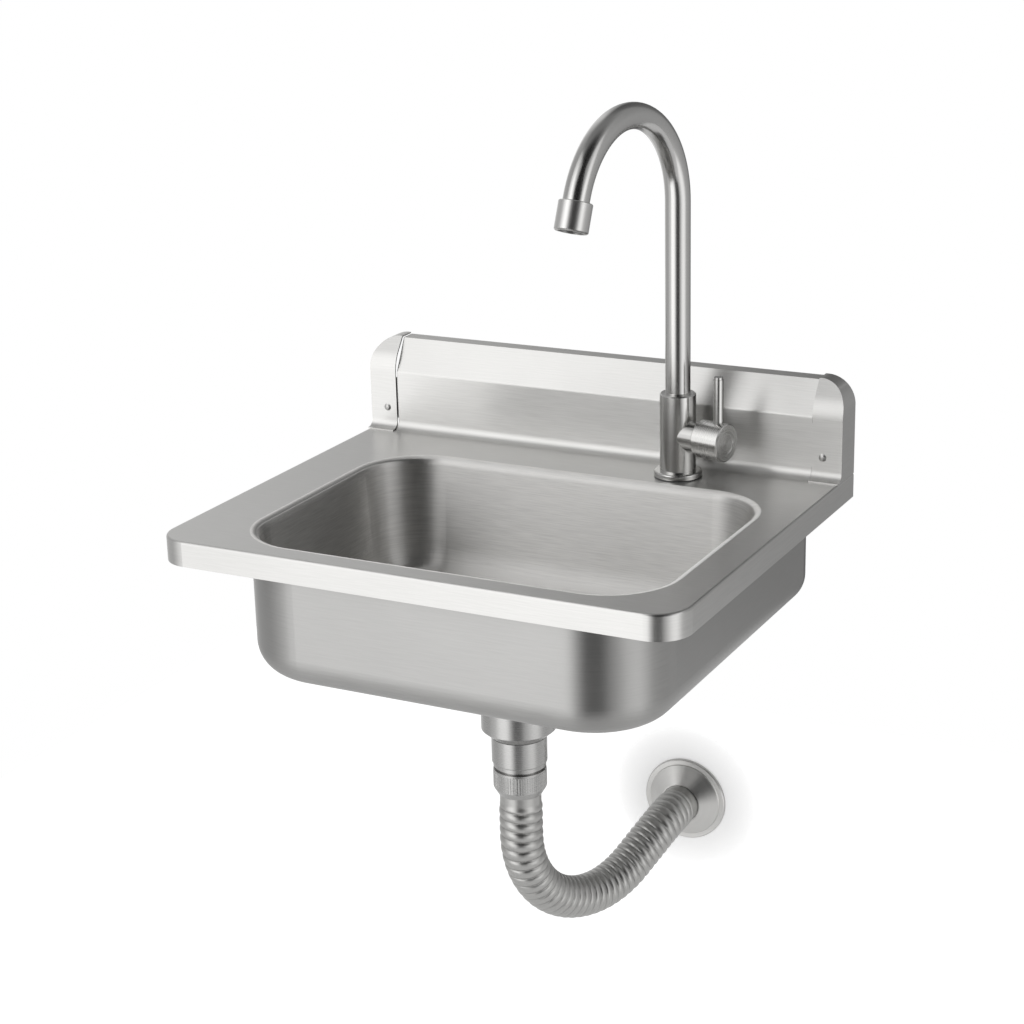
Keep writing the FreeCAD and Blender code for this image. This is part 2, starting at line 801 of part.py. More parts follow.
def build_bowl():
    """Drawn bowl with a rolled rim, drafted walls and a recess for the waste."""
    body = new_body("bowl")
    roll = "(Sizes.bowl_roll - Sizes.sheet)"
    draft = "-Sizes.bowl_draft"
    outer_depth = "(Sizes.bowl_depth + Sizes.sheet)"
    outer_radius = "Sizes.bowl_floor_radius + Sizes.sheet"
    tub(body, bowl_sides(roll), bowl_corners(roll), "0", outer_depth, outer_radius, draft)
    rim = rounded(body, "rim", "XY_Plane", bowl_sides("0"), bowl_corners("0"))
    pad(body, rim, "Sizes.sheet", downward=True)
    under = value("-Sizes.sheet")
    fillet(
        body,
        "under_roll",
        f"{roll} - Sizes.roll_land",
        lambda box: near(box.ZMin, under) and near(box.ZMax, under) and within_bowl_rim(box),
    )
    core = new_core("bowl_core")
    sides = bowl_sides("Sizes.bowl_roll")
    corners = bowl_corners("Sizes.bowl_roll")
    tub(core, sides, corners, "0", "Sizes.bowl_depth", "Sizes.bowl_floor_radius", draft)
    hollow_out(body, core)
    fillet(
        body,
        "roll",
        "Sizes.bowl_roll - Sizes.roll_land",
        lambda box: near(box.ZMin, 0) and near(box.ZMax, 0) and within_bowl_rim(box),
    )
    where = ("Sizes.waste_middle", "-Sizes.waste_off_wall")
    boss_dia = "Sizes.recess_dia + 2 * Sizes.sheet"
    boss = circle(body, "boss", "XY_Plane", boss_dia, *where, offset="-Sizes.bowl_depth - Sizes.sheet / 2")
    pad(body, boss, "Sizes.recess_depth + Sizes.sheet / 2", downward=True)
    recess = circle(body, "recess", "XY_Plane", "Sizes.recess_dia", *where, offset="-Sizes.bowl_depth")
    pocket(body, recess, "Sizes.recess_depth")
    hole = circle(body, "waste_hole", "XY_Plane", "Sizes.waste_hole", *where, offset="-Sizes.bowl_depth")
    pocket(body, hole, "Sizes.recess_depth + 2 * Sizes.sheet")
    return body


def build_skirt():
    """Pressed skirt round the bowl, carried back to the wall, open behind the tap."""
    body = new_body("skirt")
    front = f"({FRONT} + Sizes.skirt_setback)"
    outside = (SKIRT_LEFT, SKIRT_RIGHT, front, "0")
    radii = ["Sizes.skirt_front_corner"] * 2 + ["Sizes.skirt_rear_corner"] * 2
    height = f"({SKIRT_DEPTH} - Sizes.sheet)"
    tub(body, outside, radii, "-Sizes.sheet", height, "Sizes.skirt_floor_radius")
    inside = (
        f"{SKIRT_LEFT} + Sizes.sheet",
        f"{SKIRT_RIGHT} - Sizes.sheet",
        f"{front} + Sizes.sheet",
        "-Sizes.sheet",
    )
    inner_radii = [f"{radius} - Sizes.sheet" for radius in radii]
    core = new_core("skirt_core")
    inner_height = f"({height} - Sizes.sheet)"
    tub(core, inside, inner_radii, "-Sizes.sheet", inner_height, "Sizes.skirt_floor_radius - Sizes.sheet")
    hollow_out(body, core)
    relief = rounded(
        body,
        "roll_relief",
        "XY_Plane",
        bowl_sides("-Sizes.seat_gap"),
        bowl_corners("-Sizes.seat_gap"),
    )
    pocket(body, relief, "Sizes.roll_relief")
    window = ("-Sizes.window_left", "Sizes.window_right", "-Sizes.window_bottom", "-Sizes.window_top")
    opening = rounded(body, "window", "XZ_Plane", window, ["Sizes.window_corner"] * 4, "Sizes.sheet * 2")
    pocket(body, opening, "Sizes.sheet * 3")
    where = ("Sizes.waste_middle", "-Sizes.waste_off_wall")
    above = f"-{SKIRT_DEPTH} + 10"
    hole = circle(body, "waste_hole", "XY_Plane", "Sizes.skirt_hole", *where, offset=above)
    pocket(body, hole, "20")
    return body


# ---------------------------------------------------------------- tap

def build_tap_plate():
    """Stiffening plate under the deck, round the tap hole."""
    body = new_body("tap_plate", **TAP)
    half_length = "Sizes.tap_plate_length / 2"
    half_breadth = "Sizes.tap_plate_breadth / 2"
    sides = (f"-{half_length}", half_length, f"-{half_breadth}", half_breadth)
    outline = rounded(body, "outline", "XY_Plane", sides, ["Sizes.tap_plate_corner"] * 4, PLATE_LOW)
    pad(body, outline, "Sizes.tap_plate_sheet")
    hole = circle(body, "hole", "XY_Plane", "Sizes.tap_hole", offset="-Sizes.sheet")
    pocket(body, hole, "Sizes.tap_plate_sheet + 1")
    return body


def build_tap_body():
    """Tower with a branch for the side valve, bored for the spout, shank and cartridge."""
    body = new_body("tap_body", yaw="-Sizes.valve_turn", **TAP)
    tower = circle(body, "tower", "XY_Plane", "Sizes.tower_dia", offset=FOOT_TOP)
    pad(body, tower, f"Sizes.tower_top - {FOOT_TOP}")
    top = value("tower_top")
    chamfer(body, "rim", "Sizes.tower_chamfer", lambda box: near(box.ZMin, top) and near(box.ZMax, top))
    branch = circle(body, "branch", "YZ_Plane", "Sizes.branch_dia", "0", "Sizes.valve_height")
    pad(body, branch, "Sizes.branch_reach")
    socket = circle(body, "socket", "XY_Plane", "Sizes.socket_dia", offset="Sizes.tower_top")
    pocket(body, socket, "Sizes.spout_socket")
    thread_dia = "Sizes.shank_dia + 2 * Sizes.thread_play"
    thread = circle(body, "thread", "XY_Plane", thread_dia, offset=FOOT_TOP)
    pocket(body, thread, "Sizes.shank_grip + Sizes.seat_gap", forward=True)
    water = circle(body, "waterway", "XY_Plane", "Sizes.shank_bore", offset="Sizes.tower_top")
    pocket(body, water, f"Sizes.tower_top - {FOOT_TOP}")
    for name, diameter, start in (
        ("cartridge_seat", "Sizes.cartridge_dia", "-Sizes.cartridge_back"),
        ("nut_seat", "Sizes.cartridge_nut_dia", "(Sizes.branch_reach - Sizes.cartridge_nut_grip)"),
    ):
        seat = circle(body, name, "YZ_Plane", diameter, "0", "Sizes.valve_height", start)
        pocket(body, seat, f"Sizes.branch_reach - {start}", forward=True)
    return body


def build_tap_mounting():
    """Gasket, foot, shank, washer and nut that hold the tap on the deck."""
    shank_hole = "(Sizes.shank_dia + 2 * Sizes.thread_play)"
    gasket = ring("tap_gasket", "(Sizes.foot_dia - 2)", shank_hole, "0", "Sizes.gasket_sheet", **TAP)
    foot = ring("tap_foot", "Sizes.foot_dia", shank_hole, "Sizes.gasket_sheet", FOOT_TOP, **TAP)
    high = value(FOOT_TOP)
    wide = value("foot_dia") - 1
    fillet(foot, "edge", "Sizes.foot_height / 3", lambda box: near(box.ZMin, high) and box.XLength > wide)
    shank = ring("tap_shank", "Sizes.shank_dia", "Sizes.shank_bore", "-Sizes.shank_drop",
                 f"{FOOT_TOP} + Sizes.shank_grip", **TAP)
    washer = ring("tap_washer", "Sizes.tap_washer_dia", shank_hole, WASHER_LOW, PLATE_LOW, **TAP)
    nut = hex_nut("tap_nut", "Sizes.tap_nut_flats", shank_hole, NUT_LOW, WASHER_LOW, **TAP)
    return [gasket, foot, shank, washer, nut]


def build_supply():
    """Bent supply pipe from the shank to the wall, with the nut at each end."""
    start = "-Sizes.shank_drop"
    fall = "(Sizes.tail_straight + Sizes.tail_bend)"
    end = "(Sizes.tap_off_wall - Sizes.union_off_wall - Sizes.union_grip)"
    tail = new_body("supply_tail", up=start, **TAP)
    route = new_sketch(tail, "route", "YZ_Plane")
    bend = value("tail_bend")
    straight = -value("tail_straight")
    centre = FreeCAD.Vector(bend, straight, 0)
    corner = FreeCAD.Vector(bend, -value(fall), 0)
    route.addGeometry(Part.LineSegment(FreeCAD.Vector(0, 0, 0), FreeCAD.Vector(0, straight, 0)), False)
    quarter = Part.Circle(centre, FreeCAD.Vector(0, 0, 1), bend)
    route.addGeometry(Part.ArcOfCircle(quarter, math.pi, 1.5 * math.pi), False)
    route.addGeometry(Part.LineSegment(corner, FreeCAD.Vector(value(end), -value(fall), 0)), False)
    bind_point(route, 0, 1, "0", "0")
    bind_point(route, 0, 2, "0", "-Sizes.tail_straight")
    bind_point(route, 1, 3, "Sizes.tail_bend", "-Sizes.tail_straight")
    route.addConstraint(Sketcher.Constraint("Coincident", 0, 2, 1, 1))
    route.addConstraint(Sketcher.Constraint("Tangent", 1, 2, 2, 1))
    bind_point(route, 2, 2, end, f"-{fall}")
    doc.recompute()
    for name, kind, diameter in (
        ("outside", "PartDesign::AdditivePipe", "Sizes.tail_dia"),
        ("bore", "PartDesign::SubtractivePipe", "Sizes.tail_dia - 2 * Sizes.tail_wall"),
    ):
        pipe = tail.newObject(kind, f"supply_tail_{name}")
        pipe.Profile = circle(tail, f"{name}_section", "XY_Plane", diameter)
        pipe.Spine = (route, ["Edge1", "Edge2", "Edge3"])
        proof(tail, pipe)

    nut_bore = "(Sizes.tail_dia + 2 * Sizes.thread_play)"
    lip = "(Sizes.tail_nut_height - Sizes.tail_nut_grip)"
    nut_low = f"({start} - {lip})"
    nut_top = f"({start} + Sizes.tail_nut_grip)"
    nut = hex_nut("tail_nut", "Sizes.tail_nut_flats", nut_bore, nut_low, nut_top, **TAP)
    thread_dia = "Sizes.shank_dia + 2 * Sizes.thread_play"
    thread = circle(nut, "thread", "XY_Plane", thread_dia, offset=f"{start} + Sizes.tail_nut_grip")
    pocket(nut, thread, "Sizes.tail_nut_grip")

    union = new_body(
        "supply_union",
        right="Sizes.tap_right",
        back="-Sizes.union_off_wall",
        up=f"{start} - {fall}",
        yaw="-90",
    )
    pad(union, polygon(union, "hexagon", "YZ_Plane", hexagon("Sizes.union_flats")), "Sizes.union_length")
    bore = circle(union, "bore", "YZ_Plane", nut_bore, offset="Sizes.union_length")
    pocket(union, bore, "Sizes.union_length")
    mouth = circle(union, "thread", "YZ_Plane", "Sizes.union_thread")
    pocket(union, mouth, "Sizes.union_grip", forward=True)
    return [tail, nut, union]


def build_spout():
    """Swan neck tube with its clip, bush, seal and gland in the tap body."""
    rest = "(Sizes.tower_top - Sizes.spout_socket)"
    seat = f"({rest} + Sizes.bush_floor + Sizes.seat_gap)"
    tube = new_body("spout_tube", yaw="Sizes.spout_heading", **TAP)
    route = new_sketch(tube, "route", "XZ_Plane")
    radius = value("spout_radius")
    rise = value("spout_rise")
    centre = FreeCAD.Vector(radius, rise, 0)
    sweep = math.radians(value("spout_sweep"))
    route.addGeometry(Part.LineSegment(FreeCAD.Vector(0, value(seat), 0), FreeCAD.Vector(0, rise, 0)), False)
    crook = Part.Circle(centre, FreeCAD.Vector(0, 0, 1), radius)
    route.addGeometry(Part.ArcOfCircle(crook, math.pi - sweep, math.pi), False)
    bend_end = FreeCAD.Vector(value(CROOK_OUT), value(CROOK_UP), 0)
    tail_end = FreeCAD.Vector(value(SPOUT_OUT), value(SPOUT_UP), 0)
    route.addGeometry(Part.LineSegment(bend_end, tail_end), False)
    bind_point(route, 0, 1, "0", seat)
    bind_point(route, 1, 3, "Sizes.spout_radius", "Sizes.spout_rise")
    route.addConstraint(Sketcher.Constraint("Tangent", 0, 2, 1, 2))
    bind_point(route, 1, 1, CROOK_OUT, CROOK_UP)
    route.addConstraint(Sketcher.Constraint("Coincident", 1, 1, 2, 1))
    bind_point(route, 2, 2, SPOUT_OUT, SPOUT_UP)
    doc.recompute()
    for name, kind, diameter in (
        ("outside", "PartDesign::AdditivePipe", "Sizes.spout_dia"),
        ("bore", "PartDesign::SubtractivePipe", "Sizes.spout_dia - 2 * Sizes.spout_wall"),
    ):
        pipe = tube.newObject(kind, f"spout_tube_{name}")
        pipe.Profile = circle(tube, f"{name}_section", "XY_Plane", diameter, offset=seat)
        pipe.Spine = (route, ["Edge1", "Edge2", "Edge3"])
        proof(tube, pipe)

    running = "(Sizes.spout_dia + 2 * Sizes.running_play)"
    bush = turned(
        "spout_bush",
        [
            ("Sizes.shank_bore / 2", rest),
            ("Sizes.socket_dia / 2", rest),
            ("Sizes.socket_dia / 2", f"{rest} + Sizes.bush_height"),
            (f"{running} / 2", f"{rest} + Sizes.bush_height"),
            (f"{running} / 2", f"{rest} + Sizes.bush_floor"),
            ("Sizes.shank_bore / 2", f"{rest} + Sizes.bush_floor"),
        ],
        **TAP,
    )
    clip_low = f"({rest} + Sizes.bush_height + Sizes.seat_gap)"
    clip_top = f"{clip_low} + Sizes.clip_sheet"
    clip = ring("spout_clip", "Sizes.clip_dia", "Sizes.spout_dia", clip_low, clip_top, **TAP)
    seal_low = f"({clip_low} + Sizes.clip_sheet + Sizes.seat_gap)"
    gland_low = "(Sizes.tower_top - Sizes.gland_height)"
    seal = ring("spout_seal", "Sizes.socket_dia", running, seal_low, gland_low, **TAP)
    gland = ring("spout_gland", "Sizes.socket_dia", running, gland_low, "Sizes.tower_top", **TAP)
    return [tube, bush, clip, seal, gland]


def build_outlet():
    """Collar on the spout's end with a perforated insert and its seal."""
    where = {
        "right": f"Sizes.tap_right + {SPOUT_OUT} * cos(Sizes.spout_heading)",
        "back": f"-Sizes.tap_off_wall + {SPOUT_OUT} * sin(Sizes.spout_heading)",
        "up": SPOUT_UP,
        "yaw": "Sizes.spout_heading",
        "pitch": "Sizes.spout_sweep - 90",
    }
    length = "(Sizes.outlet_length - Sizes.outlet_overlap)"
    lip = f"({length} - Sizes.outlet_lip)"
    collar = new_body("outlet_collar", **where)
    profile = [
        ("-Sizes.outlet_overlap", "Sizes.spout_dia / 2"),
        ("-Sizes.outlet_overlap", "Sizes.outlet_dia / 2 - 0.6"),
        ("-Sizes.outlet_overlap + 0.6", "Sizes.outlet_dia / 2"),
        (f"{length} - 1", "Sizes.outlet_dia / 2"),
        (length, "Sizes.outlet_dia / 2 - 1"),
        (length, "Sizes.outlet_mouth / 2"),
        (lip, "Sizes.outlet_mouth / 2"),
        (lip, "Sizes.outlet_chamber / 2"),
        ("0", "Sizes.outlet_chamber / 2"),
        ("0", "Sizes.spout_dia / 2"),
    ]
    turn_solid(collar, polygon(collar, "profile", "XZ_Plane", profile), "H_Axis")
    seal = new_body("outlet_seal", **where)
    bore = "Sizes.spout_dia / 2 - Sizes.spout_wall"
    sides = rectangle("0", "Sizes.seal_height", bore, "Sizes.outlet_chamber / 2")
    turn_solid(seal, polygon(seal, "profile", "XZ_Plane", sides), "H_Axis")
    screen = new_body("outlet_screen", **where)
    cup = [
        ("Sizes.seal_height", "Sizes.screen_bore / 2"),
        ("Sizes.seal_height", "Sizes.outlet_chamber / 2 - Sizes.thread_play"),
        (lip, "Sizes.outlet_chamber / 2 - Sizes.thread_play"),
        (lip, "0"),
        (f"{lip} - Sizes.screen_sheet", "0"),
        (f"{lip} - Sizes.screen_sheet", "Sizes.screen_bore / 2"),
    ]
    turn_solid(screen, polygon(screen, "profile", "XZ_Plane", cup), "H_Axis")
    middle_hole = circle(screen, "middle_hole", "YZ_Plane", "Sizes.screen_hole", offset=lip)
    pocket(screen, middle_hole, "Sizes.screen_sheet")
    for rings in (1, 2):
        across = f"{rings} * Sizes.screen_ring"
        spot = circle(screen, f"hole_{rings}", "YZ_Plane", "Sizes.screen_hole", across, offset=lip)
        hole = pocket(screen, spot, "Sizes.screen_sheet")
        polar(screen, hole, "X_Axis", 6 * rings)
    return [collar, seal, screen]


def build_valve():
    """Side valve: cartridge and nut in the branch, spindle, handle, lever and grub screw."""
    where = {"up": "Sizes.valve_height", "yaw": "-Sizes.valve_turn", **TAP}
    nut_start = "(Sizes.branch_reach - Sizes.cartridge_nut_grip)"
    nut_end = "(Sizes.branch_reach + Sizes.cartridge_nut_proud)"
    guide = "(Sizes.cartridge_dia / 2 - 3)"
    spindle_hole = "(Sizes.spindle_dia / 2 + Sizes.running_play)"
    cartridge = new_body("valve_cartridge", **where)
    profile = [
        ("-Sizes.cartridge_back", "Sizes.cartridge_bore / 2"),
        ("-Sizes.cartridge_back", "Sizes.cartridge_dia / 2"),
        (nut_start, "Sizes.cartridge_dia / 2"),
        (nut_start, guide),
        (nut_end, guide),
        (nut_end, spindle_hole),
        ("Sizes.spindle_start - Sizes.seat_gap", spindle_hole),
        ("Sizes.spindle_start - Sizes.seat_gap", "Sizes.cartridge_bore / 2"),
    ]
    turn_solid(cartridge, polygon(cartridge, "profile", "XZ_Plane", profile), "H_Axis")
    port = circle(cartridge, "port", "XY_Plane", "Sizes.cartridge_port", offset="Sizes.cartridge_dia")
    pocket(cartridge, port, "2 * Sizes.cartridge_dia")

    nut = new_body("cartridge_nut", **where)
    ring_face = circle(nut, "ring", "YZ_Plane", "Sizes.cartridge_nut_dia", offset=nut_start)
    pad(nut, ring_face, "Sizes.cartridge_nut_grip")
    flats = polygon(nut, "hexagon", "YZ_Plane", hexagon("Sizes.cartridge_nut_flats"), "Sizes.branch_reach")
    pad(nut, flats, "Sizes.cartridge_nut_proud")
    bore = circle(nut, "bore", "YZ_Plane", f"2 * {guide} + 2 * Sizes.thread_play", offset=nut_end)
    pocket(nut, bore, f"{nut_end} - {nut_start}")

    spindle = new_body("valve_spindle", **where)
    rod = circle(spindle, "rod", "YZ_Plane", "Sizes.spindle_dia", offset="Sizes.spindle_start")
    pad(spindle, rod, "Sizes.spindle_tip - Sizes.spindle_start")

    handle = new_body("valve_handle", **where)
    start = "(Sizes.branch_reach + Sizes.handle_gap)"
    end = f"({start} + Sizes.handle_length)"
    recess_end = f"({start} + Sizes.handle_recess_depth)"
    outline = [
        (start, "Sizes.handle_recess / 2"),
        (start, "Sizes.handle_dia / 2 - Sizes.handle_bevel"),
        (f"{start} + Sizes.handle_bevel", "Sizes.handle_dia / 2"),
        (f"{end} - Sizes.handle_bevel", "Sizes.handle_dia / 2"),
        (end, "Sizes.handle_dia / 2 - Sizes.handle_bevel"),
        (end, "Sizes.face_ring / 2"),
        (f"{end} - Sizes.face_step", "Sizes.face_ring / 2 - Sizes.face_step"),
        (f"{end} - Sizes.face_step", "0"),
        ("Sizes.spindle_tip + Sizes.seat_gap", "0"),
        ("Sizes.spindle_tip + Sizes.seat_gap", "Sizes.spindle_dia / 2"),
        (recess_end, "Sizes.spindle_dia / 2"),
        (recess_end, "Sizes.handle_recess / 2"),
    ]
    turn_solid(handle, polygon(handle, "profile", "XZ_Plane", outline), "H_Axis")
    top = "Sizes.handle_dia / 2"
    seat_dia = "Sizes.lever_dia + 2 * Sizes.lever_play"
    seat = circle(handle, "lever_seat", "XY_Plane", seat_dia, "Sizes.lever_at", offset=top)
    pocket(handle, seat, f"{top} - Sizes.lever_seat")
    stud_dia = "Sizes.lever_stud + 2 * Sizes.thread_play"
    stud = circle(handle, "lever_stud", "XY_Plane", stud_dia, "Sizes.lever_at", offset=top)
    pocket(handle, stud, f"{top} - Sizes.lever_stud_end + Sizes.seat_gap")
    grub_hole = circle(
        handle,
        "grub_hole",
        "XY_Plane",
        "Sizes.grub_dia + 2 * Sizes.thread_play",
        "Sizes.grub_at",
        offset=f"-{top}",
    )
    pocket(handle, grub_hole, f"{top} - Sizes.spindle_dia / 4", forward=True)

    lever = new_body("lever_pin", **where)
    for name, diameter, low, high in (
        ("stud", "Sizes.lever_stud", "Sizes.lever_stud_end", "Sizes.lever_seat"),
        ("pin", "Sizes.lever_dia", "Sizes.lever_seat", "(Sizes.lever_top - Sizes.lever_tip)"),
        ("tip", "Sizes.lever_tip_dia", "(Sizes.lever_top - Sizes.lever_tip)", "Sizes.lever_top"),
    ):
        section = circle(lever, name, "XY_Plane", diameter, "Sizes.lever_at", offset=low)
        pad(lever, section, f"{high} - {low}")

    grub = new_body("grub_screw", **where)
    low = "-Sizes.spindle_dia / 2"
    shaft = circle(grub, "shaft", "XY_Plane", "Sizes.grub_dia", "Sizes.grub_at", offset=low)
    pad(grub, shaft, "Sizes.grub_length", downward=True)
    socket_start = "-Sizes.spindle_dia / 2 - Sizes.grub_length"
    key = [(f"{x} + Sizes.grub_at", y) for x, y in hexagon("Sizes.grub_dia / 2")]
    socket = polygon(grub, "key", "XY_Plane", key, offset=socket_start)
    pocket(grub, socket, "Sizes.grub_dia / 2", forward=True)
    return [cartridge, nut, spindle, handle, lever, grub]


# ---------------------------------------------------------------- strainer waste

def build_waste():
    """Strainer cup clamped through the bowl floor, with its neck collar."""
    recess = "(-Sizes.bowl_depth - Sizes.recess_depth)"
    brim = f"({recess} + Sizes.cup_flange_sheet)"
    mouth_end = f"({brim} - Sizes.cup_mouth_drop)"
    wall = "Sizes.cup_wall"
    cup = turned(
        "waste_cup",
        [
            ("Sizes.cup_mouth / 2", brim),
            (f"Sizes.cup_dia / 2 - {wall}", mouth_end),
            (f"Sizes.cup_dia / 2 - {wall}", f"-Sizes.cup_shoulder + {wall}"),
            ("Sizes.neck_bore / 2", f"-Sizes.neck_top + {wall}"),
            ("Sizes.neck_bore / 2", "-Sizes.neck_end"),
            ("Sizes.neck_thread_dia / 2", "-Sizes.neck_end"),
            ("Sizes.neck_thread_dia / 2", "-Sizes.neck_top"),
            ("Sizes.neck_dia / 2", "-Sizes.neck_top"),
            ("Sizes.cup_dia / 2", "-Sizes.cup_shoulder"),
            ("Sizes.cup_dia / 2", f"{mouth_end} - {wall}"),
            (f"Sizes.cup_mouth / 2 + {wall} / 2", recess),
            ("Sizes.cup_flange_dia / 2", recess),
            ("Sizes.cup_flange_dia / 2", f"{brim} - 0.5"),
            ("Sizes.cup_flange_dia / 2 - 1.5", brim),
        ],
        **WASTE,
    )
    collar = turned(
        "neck_collar",
        [
            ("Sizes.neck_thread_dia / 2 + Sizes.thread_play", "-Sizes.neck_top - Sizes.seat_gap"),
            ("Sizes.neck_dia / 2", "-Sizes.neck_top - Sizes.seat_gap"),
            ("Sizes.neck_dia / 2", "-Sizes.neck_bottom + 1"),
            ("Sizes.neck_step_dia / 2", "-Sizes.neck_bottom"),
            ("Sizes.neck_step_dia / 2", "-Sizes.neck_step_bottom"),
            ("Sizes.neck_thread_dia / 2 + Sizes.thread_play", "-Sizes.neck_step_bottom"),
        ],
        **WASTE,
    )
    under = f"({recess} - Sizes.sheet)"
    gasket_low = f"({under} - Sizes.waste_gasket_sheet)"
    washer_low = f"({gasket_low} - Sizes.waste_washer_sheet)"
    nut_low = f"({washer_low} - Sizes.clamp_nut_height)"
    gasket_bore = "(Sizes.cup_mouth + Sizes.cup_wall)"
    gasket = ring("waste_gasket", "Sizes.gasket_dia", gasket_bore, gasket_low, under, **WASTE)
    washer = ring("waste_washer", "Sizes.clamp_dia", "Sizes.clamp_bore", washer_low, gasket_low, **WASTE)
    nut_bore = "(Sizes.cup_dia + 2 * Sizes.thread_play)"
    nut = ring("waste_nut", "Sizes.clamp_nut_dia", nut_bore, nut_low, washer_low, **WASTE)
    lug_sides = rectangle(
        "Sizes.clamp_nut_dia / 2 - 1",
        "Sizes.clamp_nut_dia / 2 + Sizes.clamp_lug",
        "-Sizes.clamp_lug_width / 2",
        "Sizes.clamp_lug_width / 2",
    )
    lug = pad(nut, polygon(nut, "lug", "XY_Plane", lug_sides, offset=nut_low), "Sizes.clamp_nut_height")
    polar(nut, lug, "Z_Axis", 4)
    return [cup, collar, gasket, washer, nut]


def build_basket():
    """Lift-out strainer basket with a knob on a stem."""
    brim = "(-Sizes.bowl_depth - Sizes.recess_depth + Sizes.cup_flange_sheet)"
    slope = "(Sizes.cup_mouth_drop / (Sizes.cup_mouth / 2 - Sizes.cup_dia / 2 + Sizes.cup_wall))"
    rim_top = f"({brim} - (Sizes.cup_mouth - Sizes.basket_rim) / 2 * {slope} + Sizes.basket_sheet)"
    rim_in = "(Sizes.cup_dia / 2 - Sizes.cup_wall - 1)"
    drop = f"((Sizes.basket_rim / 2 - {rim_in}) * {slope})"
    floor = f"({rim_top} - Sizes.basket_depth)"
    thick = "Sizes.basket_sheet"
    basket = turned(
        "strainer_basket",
        [
            ("Sizes.basket_rim / 2", rim_top),
            ("Sizes.basket_rim / 2", f"{rim_top} - {thick} + Sizes.basket_seat"),
            (rim_in, f"{rim_top} - {drop} - {thick} + Sizes.basket_seat"),
            ("Sizes.basket_dia / 2", f"{rim_top} - {drop} - {thick} + Sizes.basket_seat"),
            ("Sizes.basket_floor_dia / 2", floor),
            ("0", floor),
            ("0", f"{floor} + {thick}"),
            (f"Sizes.basket_floor_dia / 2 - {thick}", f"{floor} + {thick}"),
            (f"Sizes.basket_dia / 2 - {thick}", f"{rim_top} - {drop}"),
            (rim_in, f"{rim_top} - {drop}"),
        ],
        **WASTE,
    )
    for rings in (1, 2):
        across = f"{rings} * Sizes.basket_ring + 1"
        top = f"{floor} + {thick}"
        spot = circle(basket, f"hole_{rings}", "XY_Plane", "Sizes.basket_hole", across, offset=top)
        hole = pocket(basket, spot, f"{thick} * 2")
        polar(basket, hole, "Z_Axis", 7 * rings)
    for level in (1, 2, 3):
        height = f"{floor} + {level} * 2 * Sizes.basket_side_hole - 1"
        spot = circle(basket, f"side_hole_{level}", "YZ_Plane", "Sizes.basket_side_hole", "0", height)
        hole = pocket(basket, spot, "Sizes.basket_dia", forward=True)
        polar(basket, hole, "Z_Axis", 14)

    stem_low = f"{floor} + {thick}"
    knob_low = f"({floor} + {thick} + Sizes.knob_rise)"
    knob = turned(
        "basket_knob",
        [
            ("0", stem_low),
            ("Sizes.knob_stem / 2", stem_low),
            ("Sizes.knob_stem / 2", knob_low),
            ("Sizes.knob_dia / 2 - 1", knob_low),
            ("Sizes.knob_dia / 2", f"{knob_low} + 1.5"),
            ("Sizes.knob_dia / 2 - 2", f"{knob_low} + Sizes.knob_height - 0.8"),
            ("Sizes.knob_dia / 2 - 5", f"{knob_low} + Sizes.knob_height"),
            ("0", f"{knob_low} + Sizes.knob_height"),
        ],
        **WASTE,
    )
    return [basket, knob]


# ---------------------------------------------------------------- drain pipe and wall

def build_hose_coupling():
    """Nut and seal that hold the drain pipe's flange on the waste neck."""
    nut = turned(
        "hose_nut",
        [
            ("Sizes.neck_thread_dia / 2 + Sizes.thread_play", "-Sizes.hose_nut_top"),
            ("Sizes.hose_nut_dia / 2", "-Sizes.hose_nut_top"),
            ("Sizes.hose_nut_dia / 2", "-Sizes.hose_nut_bottom"),
            ("Sizes.hose_nut_lip / 2", "-Sizes.hose_nut_bottom - Sizes.hose_nut_taper"),
            ("Sizes.hose_plain_dia / 2 + Sizes.thread_play", "-Sizes.hose_nut_bottom - Sizes.hose_nut_taper"),
            ("Sizes.hose_plain_dia / 2 + Sizes.thread_play", f"{FLANGE_TOP} - Sizes.hose_flange"),
            ("Sizes.neck_thread_dia / 2 + Sizes.thread_play", f"{FLANGE_TOP} - Sizes.hose_flange"),
        ],
        **WASTE,
    )
    above = "-Sizes.neck_end"
    seal = ring("hose_seal", "Sizes.hose_flange_dia", "Sizes.neck_bore", FLANGE_TOP, above, **WASTE)
    return [nut, seal]


def hose_route():
    """The drain pipe's corners and its two bends, as straight runs and arcs."""
    lift = value("rail_line")
    waste_x = value("waste_middle")
    waste_y = -value("waste_off_wall")
    wall_x = value("hose_wall_middle")
    wall_z = -value("hose_wall_drop") - lift
    corners = [
        FreeCAD.Vector(waste_x, waste_y, value(FLANGE_TOP) - lift),
        FreeCAD.Vector(waste_x, waste_y, -value("hose_low_corner") - lift),
        FreeCAD.Vector(wall_x, -value("hose_wall_corner"), wall_z),
        FreeCAD.Vector(wall_x, value("hose_reach"), wall_z),
    ]
    radii = [value("hose_low_radius"), value("hose_wall_radius")]
    edges = []
    start = corners[0]
    for i, radius in enumerate(radii, start=1):
        arriving = (corners[i] - corners[i - 1]).normalize()
        leaving = (corners[i + 1] - corners[i]).normalize()
        turn = arriving.getAngle(leaving)
        trim = radius * math.tan(turn / 2)
        first = corners[i] - arriving * trim
        last = corners[i] + leaving * trim
        bisector = (leaving - arriving).normalize()
        centre = corners[i] + bisector * (radius / math.cos(turn / 2))
        middle = centre - bisector * radius
        edges.append(Part.LineSegment(start, first).toShape())
        edges.append(Part.Arc(first, middle, last).toShape())
        start = last
    edges.append(Part.LineSegment(start, corners[-1]).toShape())
    return edges


